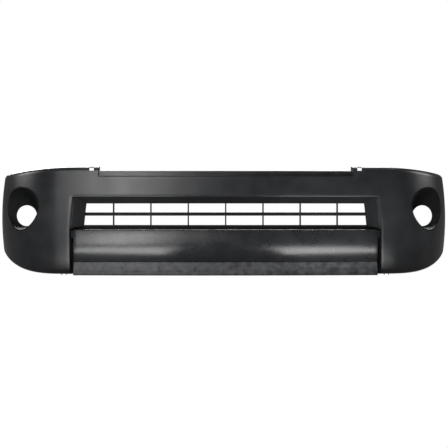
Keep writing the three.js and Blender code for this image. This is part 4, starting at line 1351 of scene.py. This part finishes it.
# ---- carried-over nodes ------------------------------------------------------------------------
class SmallParts:
    """Retainers, stays, rivets and screws, which keep their frame shapes.

    A finish belongs to every node whose name holds the words beside it.
    """

    finishes: ClassVar[dict[str, Finish]] = {
        "side_retainer": NYLON,
        "upper_retainer": COATED_STEEL,
        "lower_stay": COATED_STEEL,
        "dam_rivet": NYLON,
        "_screw": ZINC,
    }

    def dress(self) -> None:
        """Gives each node its finish."""
        for name, obj in frame["nodes"].items():
            for part, finish in self.finishes.items():
                if part in name:
                    WARDROBE.dress(obj, finish)
                    LOG.info("%s keeps its shape", name)


# ---- studio ------------------------------------------------------------------------------------
@dataclass(frozen=True)
class Softbox:
    """A rectangular area light that looks at a point."""

    name: str
    place: tuple[float, float, float]
    target: tuple[float, float, float]
    width: float
    height: float
    watts: float

    def build(self) -> None:
        """Adds the light, hidden from the camera itself."""
        data = bpy.data.lights.new(self.name, "AREA")
        data.shape = "RECTANGLE"
        data.size, data.size_y, data.energy = self.width, self.height, self.watts
        light = bpy.data.objects.new(self.name, data)
        bpy.context.collection.objects.link(light)
        light.location = self.place
        aim = Vector(self.target) - Vector(self.place)
        light.rotation_euler = aim.to_track_quat("-Z", "Y").to_euler()
        light.visible_camera = False


@dataclass(frozen=True)
class Studio:
    """Floor, surroundings, lights and camera."""

    distance: float = 9.0
    azimuth: float = -1.3
    elevation: float = 0.3
    field: float = 0.0950
    look_x: float = -8.0 * MM
    look_z: float = 197.5 * MM
    floor_size: float = 120.0
    floor_glow: float = 0.22
    room_glow: float = 0.1

    lights: ClassVar[tuple[Softbox, ...]] = (
        Softbox("left_bank", (-1.7, -4.7, 1.6), (0.0, 0.0, -0.1), 1.1, 3.6, 135.0),
        Softbox("top_bank", (0.3, -0.6, 3.4), (0.0, 0.1, -0.2), 3.4, 1.8, 36.0),
        Softbox("left_floor", (-0.5, -0.45, -0.39), (-0.5, -0.45, 1.0), 0.5, 0.6, 7.5),
        Softbox("right_floor", (0.5, -0.45, -0.39), (0.5, -0.45, 1.0), 0.5, 0.6, 9.0),
        Softbox("back_bank", (-0.4, 3.4, 1.9), (0.0, 0.1, -0.2), 3.2, 2.0, 300.0),
        Softbox("right_side", (3.4, 0.3, 1.3), (0.7, 0.2, -0.2), 1.7, 1.7, 60.0),
        Softbox("left_side", (-3.4, 0.3, 1.3), (-0.7, 0.2, -0.2), 1.7, 1.7, 60.0),
    )

    def build(self) -> None:
        """Sets the stage."""
        self._floor()
        self._surroundings()
        for light in self.lights:
            light.build()
        self._camera()
        bpy.context.scene.view_settings.view_transform = "Standard"

    def _floor(self) -> None:
        """A plain pale floor under the cover."""
        bpy.ops.mesh.primitive_plane_add(size=self.floor_size)
        floor = bpy.context.active_object
        floor.name = "studio_floor"
        floor.data.transform(Matrix.Translation((0, 0, CAD_BOX[0].z - 0.2 * MM)))
        paper = bpy.data.materials.new("white_paper")
        paper.use_nodes = True
        white = self._white(paper.node_tree, "ShaderNodeEmission", self.floor_glow)
        add_node(paper.node_tree, "ShaderNodeOutputMaterial", {"Surface": white.outputs[0]})
        floor.data.materials.append(paper)
        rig.stage(floor)

    def _surroundings(self) -> None:
        """White behind the cover, and a dimmer room for its reflections."""
        world = bpy.data.worlds.new("studio_room")
        bpy.context.scene.world = world
        world.use_nodes = True
        white = self._white(world.node_tree, "ShaderNodeBackground", self.room_glow)
        add_node(world.node_tree, "ShaderNodeOutputWorld", {"Surface": white.outputs[0]})

    @staticmethod
    def _white(tree: Tree, kind: str, glow: float) -> Any:
        """Clears a tree and makes it plain white as seen, and dimmer as a source of light.

        Args:
            tree: the node tree.
            kind: type name of the node that gives light.
            glow: its strength to every ray but the camera's own.

        Returns:
            The node that mixes the two.
        """
        tree.nodes.clear()
        path = add_node(tree, "ShaderNodeLightPath")
        seen, dim = (
            add_node(tree, kind, {"Color": linear("#ffffff"), "Strength": strength})
            for strength in (1.0, glow)
        )
        links = {"Fac": path.outputs["Is Camera Ray"], 1: dim.outputs[0], 2: seen.outputs[0]}
        return add_node(tree, "ShaderNodeMixShader", links)

    def _camera(self) -> None:
        """A long lens nearly square to the front."""
        data = bpy.data.cameras.new("studio_camera")
        camera = bpy.data.objects.new("studio_camera", data)
        bpy.context.collection.objects.link(camera)
        data.sensor_width = 36.0
        data.lens = data.sensor_width / (2 * self.field)
        data.clip_end = 200.0
        target = Vector((self.look_x, 0.0, self.look_z)) + SHAPE.origin
        a, e = math.radians(self.azimuth), math.radians(self.elevation)
        back = Vector((math.sin(a) * math.cos(e), -math.cos(a) * math.cos(e), math.sin(e)))
        camera.location = target + back * self.distance
        camera.rotation_euler = (-back).to_track_quat("-Z", "Y").to_euler()
        bpy.context.scene.camera = camera


def main() -> None:
    """Sets the stage, then builds and dresses every sub-assembly."""
    logging.basicConfig(level=logging.INFO, format="%(message)s")
    Studio().build()
    for part in (BumperSkin(), LipPanel(), AirDam(), SlotGrille(), FogBezel()):
        part.dress(part.build())
    SmallParts().dress()
    boxes = {
        "cad": [list(corner) for corner in CAD_BOX],
        "visual": [list(corner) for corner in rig.bounds()],
    }
    with open(SIZE_FILE, "w", encoding="utf-8") as file:
        json.dump(boxes, file)


if __name__ == "__main__":
    main()
